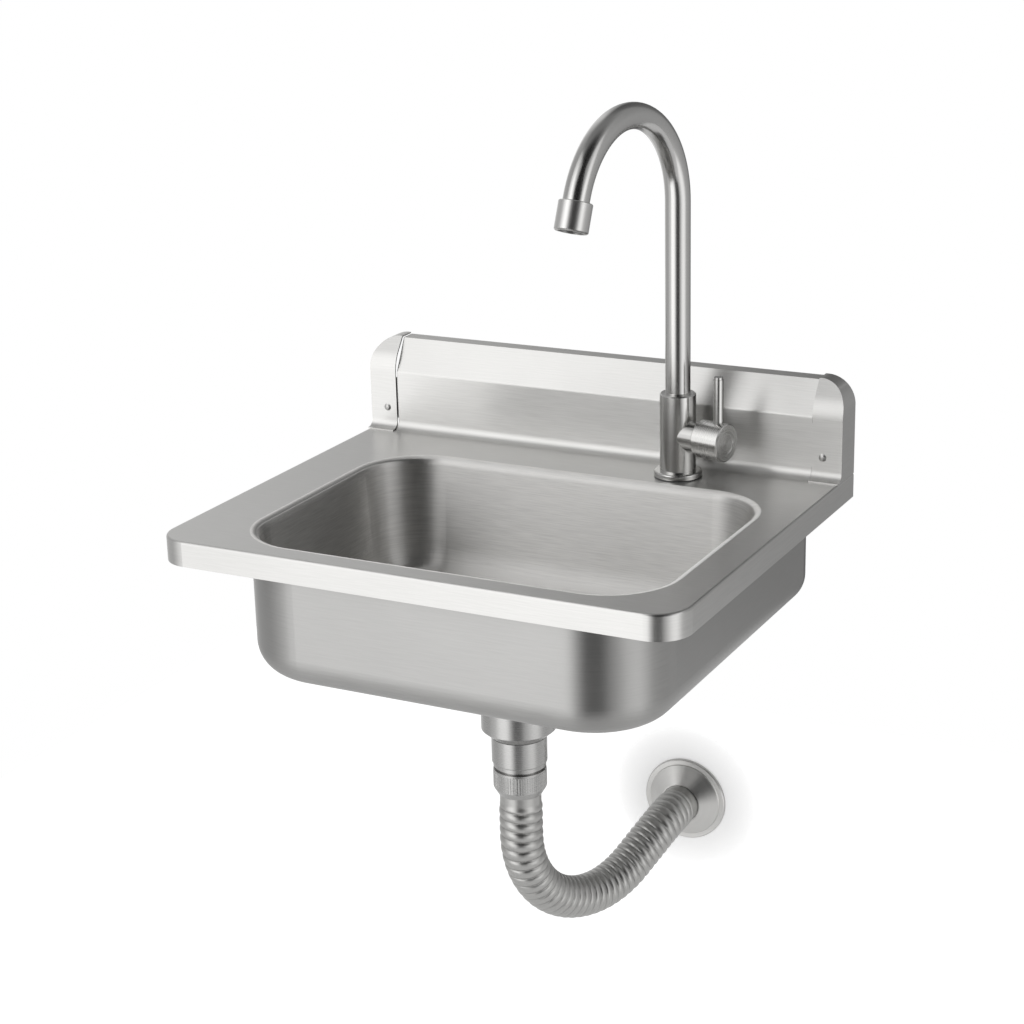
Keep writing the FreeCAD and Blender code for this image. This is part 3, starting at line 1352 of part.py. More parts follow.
def route_frame(edges, along):
    """Point and direction on the route at a distance from its start."""
    for edge in edges:
        if along <= edge.Length + 1e-9 or edge is edges[-1]:
            parameter = edge.getParameterByLength(min(along, edge.Length))
            return edge.valueAt(parameter), edge.tangentAt(parameter).normalize()
        along -= edge.Length


def route_circle(edges, along, radius, steady):
    """A circle square to the route, its X axis held to a steady direction."""
    point, direction = route_frame(edges, along)
    ring_curve = Part.Circle(point, direction, radius)
    ring_curve.XAxis = (steady - direction * steady.dot(direction)).normalize()
    return Part.Wire([ring_curve.toShape()])


def build_drain_hose():
    """Ribbed drain pipe: a flanged cuff, ribs along the bends and a plain end in the wall."""
    edges = hose_route()
    total = sum(edge.Length for edge in edges)
    down = edges[0].tangentAt(edges[0].FirstParameter)
    rising = edges[2].tangentAt(edges[2].FirstParameter)
    steady = down.cross(rising).normalize()
    plain = value("hose_plain_dia") / 2
    crest = value("hose_dia") / 2
    root = value("hose_root_dia") / 2
    flange_end = value("hose_flange")
    ribs_from = value(FLANGE_TOP) + value("hose_start")
    ribs_to = total - value("hose_reach") - value("hose_plain_end")
    pitch = value("rib_pitch")
    count = int((ribs_to - ribs_from) / pitch)
    flange = value("hose_flange_dia") / 2
    stations = [(0, flange), (flange_end - 0.4, flange), (flange_end, plain), (ribs_from - 0.5, plain)]
    for i in range(count):
        base = ribs_from + i * pitch
        stations += [
            (base, root),
            (base + pitch * value("rib_rise"), crest),
            (base + pitch * value("rib_fall"), crest),
            (base + pitch * value("rib_end"), root),
        ]
    stations += [(ribs_from + count * pitch, plain), (total, plain)]
    sections = [route_circle(edges, along, radius, steady) for along, radius in stations]
    outside = Part.makeLoft(sections, True, True)
    spine = Part.Wire(edges)
    bore_start = route_circle(edges, 0, value("hose_bore") / 2, steady)
    bore = spine.makePipeShell([bore_start], True, False)
    hose = doc.addObject("Part::Feature", "drain_hose")
    hose.Label = "drain_hose"
    hose.Shape = outside.cut(bore)
    return hose


def build_wall_fittings():
    """Rosette, sleeve and seal where the drain pipe enters the wall."""
    where = {"right": "Sizes.hose_wall_middle", "up": "-Sizes.hose_wall_drop", "yaw": "-90"}
    hole = "(Sizes.hose_plain_dia / 2 + Sizes.seat_gap)"
    outer = "Sizes.rosette_dia / 2"
    rim = f"({outer} - Sizes.rosette_rim)"
    rise = "Sizes.rosette_rise"
    thick = "Sizes.rosette_sheet"
    rosette = new_body("wall_rosette", **where)
    profile = [
        ("0", f"{outer} - {thick}"),
        ("0", outer),
        (f"{rise} - 0.8", outer),
        (rise, f"{outer} - 0.8"),
        (rise, rim),
        (f"{rise} + 0.9", f"{rim} - 0.6"),
        ("Sizes.rosette_depth", f"{hole} + {thick}"),
        ("Sizes.rosette_depth", hole),
        (f"Sizes.rosette_depth - {thick}", hole),
        (f"{rise} - {thick} + 0.6", f"{rim} - {thick} - 0.6"),
        (f"{rise} - {thick}", f"{rim} - {thick}"),
        (f"{rise} - {thick}", f"{outer} - {thick}"),
    ]
    turn_solid(rosette, polygon(rosette, "profile", "XZ_Plane", profile), "H_Axis")
    sleeve = new_body("wall_sleeve", **where)
    pipe = [
        ("-Sizes.sleeve_reach", "Sizes.sleeve_bore / 2"),
        ("-Sizes.sleeve_reach", "Sizes.sleeve_dia / 2"),
        ("0", "Sizes.sleeve_dia / 2"),
        ("0", "Sizes.sleeve_flange / 2"),
        ("Sizes.sleeve_flange_sheet", "Sizes.sleeve_flange / 2"),
        ("Sizes.sleeve_flange_sheet", "Sizes.sleeve_bore / 2"),
    ]
    turn_solid(sleeve, polygon(sleeve, "profile", "XZ_Plane", pipe), "H_Axis")
    seal = new_body("wall_seal", **where)
    end = "(-Sizes.wall_seal_start - Sizes.wall_seal_length)"
    sides = rectangle(end, "-Sizes.wall_seal_start", "Sizes.hose_plain_dia / 2", "Sizes.sleeve_bore / 2")
    turn_solid(seal, polygon(seal, "profile", "XZ_Plane", sides), "H_Axis")
    return [rosette, sleeve, seal]


# ---------------------------------------------------------------- the whole sink

def build_all():
    """Every piece of the sink."""
    pieces = [build_deck_shell(), build_end_cap(-1, "end_cap_left"), build_end_cap(1, "end_cap_right")]
    pieces += [build_cap_rivets(), build_wall_rail(), build_bowl(), build_skirt()]
    pieces += [build_tap_plate(), build_tap_body()]
    pieces += build_tap_mounting()
    pieces += build_supply()
    pieces += build_spout()
    pieces += build_outlet()
    pieces += build_valve()
    pieces += build_waste()
    pieces += build_basket()
    pieces += build_hose_coupling()
    pieces += [build_drain_hose()]
    pieces += build_wall_fittings()
    return pieces


def check(pieces):
    """Stop if anything in the document has failed."""
    for item in doc.Objects:
        if any(word in item.State for word in ("Invalid", "Error")):
            raise RuntimeError(f"{item.Name} is {item.State}")
    for piece in pieces:
        if piece.Shape.isNull() or not piece.Shape.isValid() or not piece.Shape.Solids:
            raise RuntimeError(f"{piece.Label} has no valid solid")


def write(pieces):
    """One STEP file per piece."""
    os.makedirs("parts", exist_ok=True)
    for piece in pieces:
        piece.Shape.exportStep(f"parts/{piece.Label}.step")
        box = piece.Shape.BoundBox
        low = (round(box.XMin, 1), round(box.YMin, 1), round(box.ZMin, 1))
        high = (round(box.XMax, 1), round(box.YMax, 1), round(box.ZMax, 1))
        print(f"{piece.Label}: {len(piece.Shape.Solids)} solid, from {low} to {high}")


ALL_PIECES = build_all()
doc.recompute()
check(ALL_PIECES)
write(ALL_PIECES)
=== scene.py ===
"""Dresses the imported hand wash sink: steel finishes, ribbed drain pipe, nut flutes and the studio."""
import logging
import math
from dataclasses import dataclass
from enum import Enum

import bmesh
import bpy
from mathutils import Matrix, Vector


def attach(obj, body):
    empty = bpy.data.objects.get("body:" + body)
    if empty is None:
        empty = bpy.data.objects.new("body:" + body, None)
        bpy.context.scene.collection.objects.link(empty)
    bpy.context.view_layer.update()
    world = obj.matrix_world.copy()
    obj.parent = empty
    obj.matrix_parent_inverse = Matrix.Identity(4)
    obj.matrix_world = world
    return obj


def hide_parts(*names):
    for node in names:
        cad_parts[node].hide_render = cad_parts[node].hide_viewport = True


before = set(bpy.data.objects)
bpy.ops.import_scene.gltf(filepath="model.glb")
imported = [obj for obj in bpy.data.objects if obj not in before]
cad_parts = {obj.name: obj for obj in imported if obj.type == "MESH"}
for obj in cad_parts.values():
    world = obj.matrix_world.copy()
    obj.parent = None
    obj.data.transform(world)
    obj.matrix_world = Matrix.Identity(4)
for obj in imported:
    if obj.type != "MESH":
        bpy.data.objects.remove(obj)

LOG = logging.getLogger("hand_wash_sink")
Triple = tuple[float, float, float]
Socket = bpy.types.NodeSocket

# The upright axes of the tap and the waste, and the rosette's middle on the wall.
TAP_AXIS: Triple = (0.088, -0.061, 0.0)
WASTE_AXIS: Triple = (0.011, -0.201, 0.0)
ROSETTE_MIDDLE: Triple = (0.0695, 0.0, -0.3605)

# The valve branch leaves the tower at this height, turned a little to the front from +X.
BRANCH_HEIGHT = -0.010
BRANCH_HEADING = math.radians(-12.5)

# A noise value lies mostly in the first range, and a soft cloud's in the second.
NOISE_LOW, NOISE_HIGH = 0.3, 0.7
CLOUD_LOW, CLOUD_HIGH = 0.35, 0.65
GRAIN_DETAIL = 3.0
CLOUD_DETAIL = 2.0

# How squarely a face lies to an axis where its grain starts and ends changing to that of a flat face.
FLAT_FROM, FLAT_TO = 0.65, 0.8

# How light the room is, by bearing in degrees from the front towards the right.
ROOM_LIGHT = {
    -180: 0.16, -162: 0.12, -152: 0.5, -140: 1.05, -115: 0.6, -75: 0.55, -50: 0.95, -34: 1.75, -10: 1.75,
    2: 0.8, 12: 0.1, 34: 0.05, 44: 0.6, 66: 1.4, 84: 1.4, 104: 0.6, 140: 0.45, 160: 0.4, 172: 0.18}


class Body(Enum):
    """The CAD body that the new pieces ride on."""

    SINK = "sink"


class Slot(Enum):
    """The record's material slots named for the new pieces' finishes, which the script does not use."""

    HOSE = "hose_steel"
    FINE = "fine_steel"


class NodeBoard:
    """Adds and links the nodes of one shader or geometry tree."""

    def __init__(self, tree: bpy.types.NodeTree) -> None:
        """Keeps the tree that the nodes go into.

        Args:
            tree: The shader or geometry tree.
        """
        self.tree = tree

    def add(self, kind: str, inputs: dict[str | int, object] | None = None, **settings: object) -> bpy.types.Node:
        """Adds a node, sets its options and then fills its inputs.

        Args:
            kind: The node's type name.
            inputs: Values or sockets by input name or number.
            **settings: Options of the node, such as operation.

        Returns:
            The new node.
        """
        node = self.tree.nodes.new(kind)
        for key, value in settings.items():
            setattr(node, key, value)
        for key, value in (inputs or {}).items():
            if isinstance(value, Socket):
                self.tree.links.new(value, node.inputs[key])
            else:
                node.inputs[key].default_value = value
        return node

    def math(self, operation: str, *values: object, kind: str = "ShaderNodeMath") -> Socket:
        """Adds a Math node.

        Args:
            operation: The operation's name.
            *values: Numbers or sockets.
            kind: The node's type name.

        Returns:
            The result's socket.
        """
        return self.add(kind, dict(enumerate(values)), operation=operation).outputs[0]

    def vector(self, operation: str, *values: object) -> Socket:
        """Adds a Vector Math node with a vector result.

        Args:
            operation: The operation's name.
            *values: Vectors or sockets.

        Returns:
            The result's socket.
        """
        return self.math(operation, *values, kind="ShaderNodeVectorMath")

    def scale(self, vector: object, factor: object) -> Socket:
        """Adds a vector or colour times a number.

        Args:
            vector: A vector, colour or socket.
            factor: A number or socket.

        Returns:
            The result's socket.
        """
        return self.add("ShaderNodeVectorMath", {0: vector, "Scale": factor}, operation="SCALE").outputs[0]

    def dot(self, first: object, second: object) -> Socket:
        """Adds a dot product.

        Args:
            first: A vector or socket.
            second: A vector or socket.

        Returns:
            The number's socket.
        """
        node = self.add("ShaderNodeVectorMath", {0: first, 1: second}, operation="DOT_PRODUCT")
        return node.outputs["Value"]

    def length(self, vector: object) -> Socket:
        """Adds a vector's length.

        Args:
            vector: A vector or socket.

        Returns:
            The number's socket.
        """
        return self.add("ShaderNodeVectorMath", {0: vector}, operation="LENGTH").outputs["Value"]

    def ramp(self, value: object, low: float, high: float, start: float = 0.0, end: float = 1.0,
             smooth: bool = False) -> Socket:
        """Adds a Map Range node.

        Args:
            value: The number or socket that is mapped.
            low: The value that gives start.
            high: The value that gives end.
            start: The result at low.
            end: The result at high.
            smooth: Whether the result eases in and out.

        Returns:
            The result's socket.
        """
        node = self.add("ShaderNodeMapRange", {0: value, 1: low, 2: high, 3: start, 4: end},
                        interpolation_type="SMOOTHSTEP" if smooth else "LINEAR")
        return node.outputs[0]

    def mix(self, share: object, first: object, second: object) -> Socket:
        """Adds a mix of two numbers.

        Args:
            share: How much of the second, from 0 to 1.
            first: A number or socket.
            second: A number or socket.

        Returns:
            The result's socket.
        """
        return self.add("ShaderNodeMix", {0: share, 2: first, 3: second}, data_type="FLOAT").outputs[0]

    def blend(self, share: object, first: object, second: object) -> Socket:
        """Adds a mix of two colours or vectors.

        Args:
            share: How much of the second, from 0 to 1.
            first: A colour, vector or socket.
            second: A colour, vector or socket.

        Returns:
            The result's socket.
        """
        return self.add("ShaderNodeMix", {0: share, 4: first, 5: second}, data_type="VECTOR").outputs[1]

    def noise(self, vector: object, scale: float, detail: float = GRAIN_DETAIL) -> Socket:
        """Adds a noise texture.

        Args:
            vector: The coordinates' socket.
            scale: How fine the noise is.
            detail: How many octaves it has.

        Returns:
            The noise's value, about 0.5 in the middle.
        """
        return self.add("ShaderNodeTexNoise", {"Vector": vector, "Scale": scale, "Detail": detail}).outputs[0]

    def capture(self, geometry: Socket, **values: Socket) -> list[Socket]:
        """Keeps values on a geometry's points before its shape changes.

        Args:
            geometry: The geometry.
            **values: The sockets to keep, by name.

        Returns:
            The geometry's socket, and then one for each kept value.
        """
        node = self.add("GeometryNodeCaptureAttribute", {0: geometry}, domain="POINT")
        for number, (name, value) in enumerate(values.items(), start=1):
            node.capture_items.new("VECTOR" if value.type == "VECTOR" else "FLOAT", name)
            self.tree.links.new(value, node.inputs[number])
        return list(node.outputs)[:len(values) + 1]


def new_material(name: str) -> tuple[bpy.types.Material, NodeBoard]:
    """Makes an empty node material.

    Args:
        name: Its name.

    Returns:
        The material and the board of its nodes.
    """
    made = bpy.data.materials.new(name)
    made.use_nodes = True
    made.node_tree.nodes.clear()
    return made, NodeBoard(made.node_tree)


@dataclass(frozen=True)
class Finish:
    """A finish with a fine even grain, and the base of the others.

    Attributes:
        name: The material's name, which is not that of a slot in the record.
        tone: Its colour.
        roughness: Its mean roughness.
        metallic: 1 for metal, 0 for rubber and plastic.
        uneven: How far the grain raises and lowers the roughness.
        contrast: How far the grain lightens and darkens the colour.
        stretch: How far highlights are drawn out across the grain.
        grain_depth: The grain's depth in metres.
        grain_scale: How fine the grain is.
        cloud_scale: How fine the slow change of roughness over the surface is.
        cloud_share: How large that change is beside the grain's.
    """

    name: str
    tone: Triple = (0.6, 0.596, 0.584)
    roughness: float = 0.3
    metallic: float = 1.0
    uneven: float = 0.03
    contrast: float = 0.03
    stretch: float = 0.6
    grain_depth: float = 0.0000015
    grain_scale: float = 900.0
    cloud_scale: float = 14.0
    cloud_share: float = 0.4

    def pattern(self, board: NodeBoard, place: Socket) -> tuple[Socket, Socket | None]:
        """Gives the grain and the direction in which highlights are drawn out.

        Args:
            board: The material's nodes.
            place: The Object coordinates.

        Returns:
            The grain's height, and the direction across it or None.
        """
        return board.noise(place, self.grain_scale), None

    def material(self) -> bpy.types.Material:
        """Builds the finish's material, once.

        Returns:
            The material.
        """
        found = bpy.data.materials.get(self.name)
        if found:
            return found
        made, board = new_material(self.name)
        self.fill(board)
        LOG.info("finish %s made", self.name)
        return made

    def fill(self, board: NodeBoard) -> None:
        """Adds the finish's nodes.

        Args:
            board: The material's nodes.
        """
        place = board.add("ShaderNodeTexCoord").outputs["Object"]
        height, across = self.pattern(board, place)
        cloud = board.noise(place, self.cloud_scale, CLOUD_DETAIL)
        drift = self.cloud_share * self.uneven
        level = board.math("ADD", board.ramp(height, NOISE_LOW, NOISE_HIGH, -self.uneven, self.uneven),
                           board.ramp(cloud, CLOUD_LOW, CLOUD_HIGH, -drift, drift))
        shade = board.ramp(height, NOISE_LOW, NOISE_HIGH, 1.0 - self.contrast, 1.0 + self.contrast)
        shader = self.surface(board, shade, board.math("ADD", level, self.roughness), height)
        if across is not None:
            shader.inputs["Anisotropic"].default_value = self.stretch
            board.tree.links.new(across, shader.inputs["Tangent"])

    def surface(self, board: NodeBoard, shade: Socket, rough: Socket, height: Socket) -> bpy.types.Node:
        """Adds the shader and the material's output.

        Args:
            board: The material's nodes.
            shade: The number that the tone is multiplied by.
            rough: The roughness.
            height: The grain's height.

        Returns:
            The shader.
        """
        bump = board.add("ShaderNodeBump", {"Height": height, "Strength": 1.0, "Distance": self.grain_depth})
        shader = board.add("ShaderNodeBsdfPrincipled", {
            "Base Color": board.scale(self.tone, shade), "Roughness": rough, "Normal": bump.outputs[0],
            "Metallic": self.metallic})
        board.add("ShaderNodeOutputMaterial", {"Surface": shader.outputs[0]})
        return shader


@dataclass(frozen=True)
class BrushedSheet(Finish):
    """Satin sheet steel, brushed level on the walls and from side to side on what lies flat.

    Attributes:
        along: How fast the streaks change along the brush's way, against across it.
    """

    stretch: float = 0.85
    grain_scale: float = 1100.0
    along: float = 0.04

    def pattern(self, board: NodeBoard, place: Socket) -> tuple[Socket, Socket]:
        """Draws level streaks on upright faces and streaks along X on flat ones.

        Args:
            board: The material's nodes.
            place: The Object coordinates.

        Returns:
            The streaks' height and the direction across them.
        """
        normal = board.add("ShaderNodeNewGeometry").outputs["Normal"]
        flat = board.ramp(board.math("ABSOLUTE", board.dot(normal, (0.0, 0.0, 1.0))), FLAT_FROM, FLAT_TO)
        upright_place = board.vector("MULTIPLY", place, (self.along, self.along, 1.0))
        flat_place = board.vector("MULTIPLY", place, (self.along, 1.0, self.along))
        streaks = board.noise(board.blend(flat, upright_place, flat_place), self.grain_scale)
        return streaks, board.blend(flat, (0.0, 0.0, 1.0), (0.0, 1.0, 0.0))


@dataclass(frozen=True)
class TurnedSteel(Finish):
    """Steel turned round an axis, with fine rings round it and on its flat ends.

    Attributes:
        centre: A point on the axis.
        axis: The axis's direction.
        wander: How far the rings stray from true, against their spacing.
    """

    grain_scale: float = 1700.0
    centre: Triple = (0.0, 0.0, 0.0)
    axis: Triple = (0.0, 0.0, 1.0)
    wander: float = 0.012

    def pattern(self, board: NodeBoard, place: Socket) -> tuple[Socket, Socket]:
        """Draws rings at equal distances along the axis, or from it on end faces.

        Args:
            board: The material's nodes.
            place: The Object coordinates.

        Returns:
            The rings' height and the direction across them.
        """
        normal = board.add("ShaderNodeNewGeometry").outputs["Normal"]
        off = board.vector("SUBTRACT", place, self.centre)
        lengthwise = board.dot(off, self.axis)
        radial = board.vector("SUBTRACT", off, board.scale(self.axis, lengthwise))
        end_face = board.ramp(board.math("ABSOLUTE", board.dot(normal, self.axis)), FLAT_FROM, FLAT_TO)
        spot = board.mix(end_face, lengthwise, board.length(radial))
        line = board.add("ShaderNodeCombineXYZ", {0: spot}).outputs[0]
        strayed = board.vector("ADD", line, board.vector("MULTIPLY", off, (self.wander,) * 3))
        rings = board.noise(strayed, self.grain_scale)
        return rings, board.blend(end_face, self.axis, board.vector("NORMALIZE", radial))


@dataclass(frozen=True)
class RibbedSteel(Finish):
    """Thin formed steel of the drain pipe, duller down in the creases between its ribs and darkened there by painted
    shade.

    Attributes:
        crease_painted_shade: The tone's factor in a crease, which paints shade there.
        painted_shade_top: The share of a rib's height where the painted shade ends and the full tone is reached.
        crease_dull: How much rougher a crease is.
        dull_top: The share of a rib's height where the crest's roughness is reached.
    """

    grain_scale: float = 700.0
    contrast: float = 0.04
    crease_painted_shade: float = 0.62
    painted_shade_top: float = 0.45
    crease_dull: float = 0.16
    dull_top: float = 0.6

    def fill(self, board: NodeBoard) -> None:
        """Adds the nodes, which read the pipe's own crest attribute.

        Args:
            board: The material's nodes.
        """
        place = board.add("ShaderNodeTexCoord").outputs["Object"]
        crest = board.add("ShaderNodeAttribute", attribute_name="crest").outputs["Fac"]
        specks = board.noise(place, self.grain_scale)
        speck_shade = board.ramp(specks, NOISE_LOW, NOISE_HIGH, 1.0 - self.contrast, 1.0 + self.contrast)
        speck_rough = board.ramp(specks, NOISE_LOW, NOISE_HIGH, -self.uneven, self.uneven)
        # Painted shade: the tone darkens from the crests down into the creases between the ribs.
        crest_painted_shade = board.ramp(crest, 0.0, self.painted_shade_top, self.crease_painted_shade, 1.0)
        crest_rough = board.ramp(crest, 0.0, self.dull_top, self.roughness + self.crease_dull, self.roughness)
        self.surface(board, board.math("MULTIPLY", crest_painted_shade, speck_shade),
                     board.math("ADD", crest_rough, speck_rough), specks)


@dataclass(frozen=True)
class Moulded(Finish):
    """Moulded rubber or plastic with a fine mould grain."""

    metallic: float = 0.0
    uneven: float = 0.08
    grain_depth: float = 0.00004


@dataclass(frozen=True)
class EvenPlastic(Finish):
    """Plastic of one even tone, for pieces that the assembled sink hides."""

    roughness: float = 0.7
    metallic: float = 0.0
    uneven: float = 0.0
    contrast: float = 0.0
    grain_depth: float = 0.0


RUBBER = Moulded("black_rubber", tone=(0.02, 0.02, 0.021), roughness=0.6)
PLAIN_STEEL = Finish("mill_steel", tone=(0.5, 0.5, 0.49), roughness=0.4)
WASTE_STEEL = TurnedSteel("turned_waste", tone=(0.46, 0.457, 0.45), roughness=0.27, uneven=0.012, contrast=0.01,
                          grain_depth=0.0000006, centre=WASTE_AXIS)


def dress(finish: Finish, *nodes: str) -> None:
    """Gives CAD nodes a finish through their material slots.

    Args:
        finish: The finish.
        *nodes: The nodes' names.
    """
    for node in nodes:
        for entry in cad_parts[node].material_slots:
            entry.link = "OBJECT"
            entry.material = finish.material()
        LOG.info("%s dressed in %s", node, finish.name)


def add_piece(name: str, mesh: bpy.types.Mesh, body: Body) -> bpy.types.Object:
    """Adds a finished mesh as a piece that rides on a body.

    Args:
        name: The piece's name.
        mesh: Its mesh, in place.
        body: The body it rides on.

    Returns:
        The piece.
    """
    piece = bpy.data.objects.new(name, mesh)
    bpy.context.scene.collection.objects.link(piece)
    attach(piece, body.value)
    LOG.info("%s built with %d faces on %s", name, len(mesh.polygons), body.value)
    return piece


class GeometryTree:
    """A geometry node tree with named inputs that is run on a small host mesh."""

    def __init__(self, name: str, inputs: dict[str, object]) -> None:
        """Makes the tree with its inputs, its material input and its one geometry output.

        Args:
            name: The tree's name.
            inputs: Each input's first value by name: a whole number, a number or a vector.
        """
        self.tree = bpy.data.node_groups.new(name, "GeometryNodeTree")
        face = self.tree.interface
        face.new_socket("Geometry", in_out="INPUT", socket_type="NodeSocketGeometry")
        kinds = {int: "NodeSocketInt", float: "NodeSocketFloat", tuple: "NodeSocketVector"}
        self.sockets: dict[str, str] = {}
        for label, value in inputs.items():
            socket = face.new_socket(label, in_out="INPUT", socket_type=kinds[type(value)])
            socket.default_value = value
            self.sockets[label] = socket.identifier
        paint = face.new_socket("Material", in_out="INPUT", socket_type="NodeSocketMaterial")
        self.sockets["Material"] = paint.identifier
        face.new_socket("Geometry", in_out="OUTPUT", socket_type="NodeSocketGeometry")
        self.board = NodeBoard(self.tree)
        self.source = self.board.add("NodeGroupInput")

    def value(self, label: str) -> Socket:
        """Gives the socket of a named input.

        Args:
            label: The input's name.

        Returns:
            The socket inside the tree.
        """
        return self.source.outputs[label]

    def close(self, geometry: Socket) -> None:
        """Ends the tree in Realize Instances and Set Material.

        Args:
            geometry: The finished geometry.
        """
        real = self.board.add("GeometryNodeRealizeInstances", {0: geometry}).outputs[0]
        painted = self.board.add("GeometryNodeSetMaterial", {"Geometry": real, "Material": self.value("Material")})
        self.board.add("NodeGroupOutput", {0: painted.outputs[0]})

    def run(self, host: bpy.types.Mesh, values: dict[str, object]) -> bpy.types.Mesh:
        """Runs the tree on a host mesh and returns a plain mesh.

        Args:
            host: The mesh that the tree starts from.
            values: The inputs' values by name.

        Returns:
            The resulting mesh.
        """
        carrier = bpy.data.objects.new("carrier", host)
        bpy.context.scene.collection.objects.link(carrier)
        modifier = carrier.modifiers.new("shape", "NODES")
        modifier.node_group = self.tree
        for label, value in values.items():
            modifier[self.sockets[label]] = value
        graph = bpy.context.evaluated_depsgraph_get()
        made = bpy.data.meshes.new_from_object(carrier.evaluated_get(graph))
        carrier.modifiers.remove(modifier)
        bpy.data.objects.remove(carrier)
        return made


@dataclass
class DeckAssembly:
    """The folded deck with its end caps, their rivets and the rail behind."""

    sheet: BrushedSheet = BrushedSheet("satin_sheet", roughness=0.34, contrast=0.05)
    rivet: Finish = Finish("rivet_steel", tone=(0.58, 0.576, 0.565), roughness=0.38)

    def build(self) -> None:
        """Dresses the deck's nodes."""
        dress(self.sheet, "deck_shell", "end_cap_left", "end_cap_right")
        dress(self.rivet, "cap_rivets")
        dress(PLAIN_STEEL, "wall_rail")


@dataclass
class BasinAssembly:
    """The drawn bowl, the pressed skirt round it, and the waste that hangs below."""

    # Painted light: the bowl's tone is raised above the other sheet steel's to offset the shade inside the bowl.
    bowl: BrushedSheet = BrushedSheet("satin_bowl_painted_light", tone=(0.8, 0.792, 0.775), roughness=0.48, contrast=0.085,
                                      stretch=0.96)
    # Painted shade: the skirt's tone is lowered below the other sheet steel's, standing in for the darker room its
    # faces reflect.
    skirt: BrushedSheet = BrushedSheet("satin_skirt_painted_shade", tone=(0.4, 0.397, 0.39), roughness=0.36, contrast=0.05)
    basket: TurnedSteel = TurnedSteel("turned_basket", roughness=0.26, centre=WASTE_AXIS)
    knob: Moulded = Moulded("black_knob", tone=(0.025, 0.025, 0.027), roughness=0.35)
    rings: EvenPlastic = EvenPlastic("even_grey", tone=(0.451, 0.459, 0.471))

    def build(self) -> None:
        """Dresses the basin's nodes."""
        dress(self.bowl, "bowl")
        dress(self.skirt, "skirt")
        dress(WASTE_STEEL, "waste_cup", "neck_collar", "hose_nut")
        dress(self.basket, "strainer_basket")
        dress(self.knob, "basket_knob")
        dress(RUBBER, "waste_gasket", "hose_seal")
        dress(self.rings, "waste_washer", "waste_nut")


@dataclass
class TapAssembly:
    """The tap: foot, tower, swan neck, outlet, valve and what holds them under the deck."""

    tower: TurnedSteel = TurnedSteel("turned_tower", roughness=0.2, centre=TAP_AXIS)
    tube: Finish = Finish("satin_tube", tone=(0.56, 0.556, 0.547), roughness=0.2, uneven=0.02, contrast=0.02,
                          grain_depth=0.0000007)
    collar: Finish = Finish("satin_collar", tone=(0.62, 0.615, 0.605), roughness=0.3, uneven=0.015, contrast=0.01,
                            grain_depth=0.0000004)
    handle: TurnedSteel = TurnedSteel(
        "turned_handle", tone=(0.7, 0.695, 0.68), roughness=0.27, uneven=0.015, contrast=0.02,
        grain_depth=0.0000006, centre=(TAP_AXIS[0], TAP_AXIS[1], BRANCH_HEIGHT),
        axis=(math.cos(BRANCH_HEADING), math.sin(BRANCH_HEADING), 0.0))
    brass: Finish = Finish("valve_brass", tone=(0.7, 0.5, 0.22), roughness=0.3)
    bush: EvenPlastic = EvenPlastic("even_white", tone=(0.851, 0.851, 0.831))
    screen: Moulded = Moulded("black_screen", tone=(0.03, 0.03, 0.032), roughness=0.4)

    def build(self) -> None:
        """Dresses the tap's nodes."""
        dress(self.tower, "tap_body", "tap_foot", "spout_gland", "lever_pin")
        dress(self.tube, "spout_tube")
        dress(self.collar, "outlet_collar")
        dress(self.handle, "valve_handle", "grub_screw", "valve_spindle")
        dress(PLAIN_STEEL, "tap_plate", "tap_shank", "tap_nut", "tap_washer", "spout_clip")
        dress(PLAIN_STEEL, "supply_tail", "tail_nut", "supply_union")
        dress(self.brass, "valve_cartridge", "cartridge_nut")
        dress(RUBBER, "tap_gasket", "spout_seal", "outlet_seal")
        dress(self.bush, "spout_bush")
        dress(self.screen, "outlet_screen")


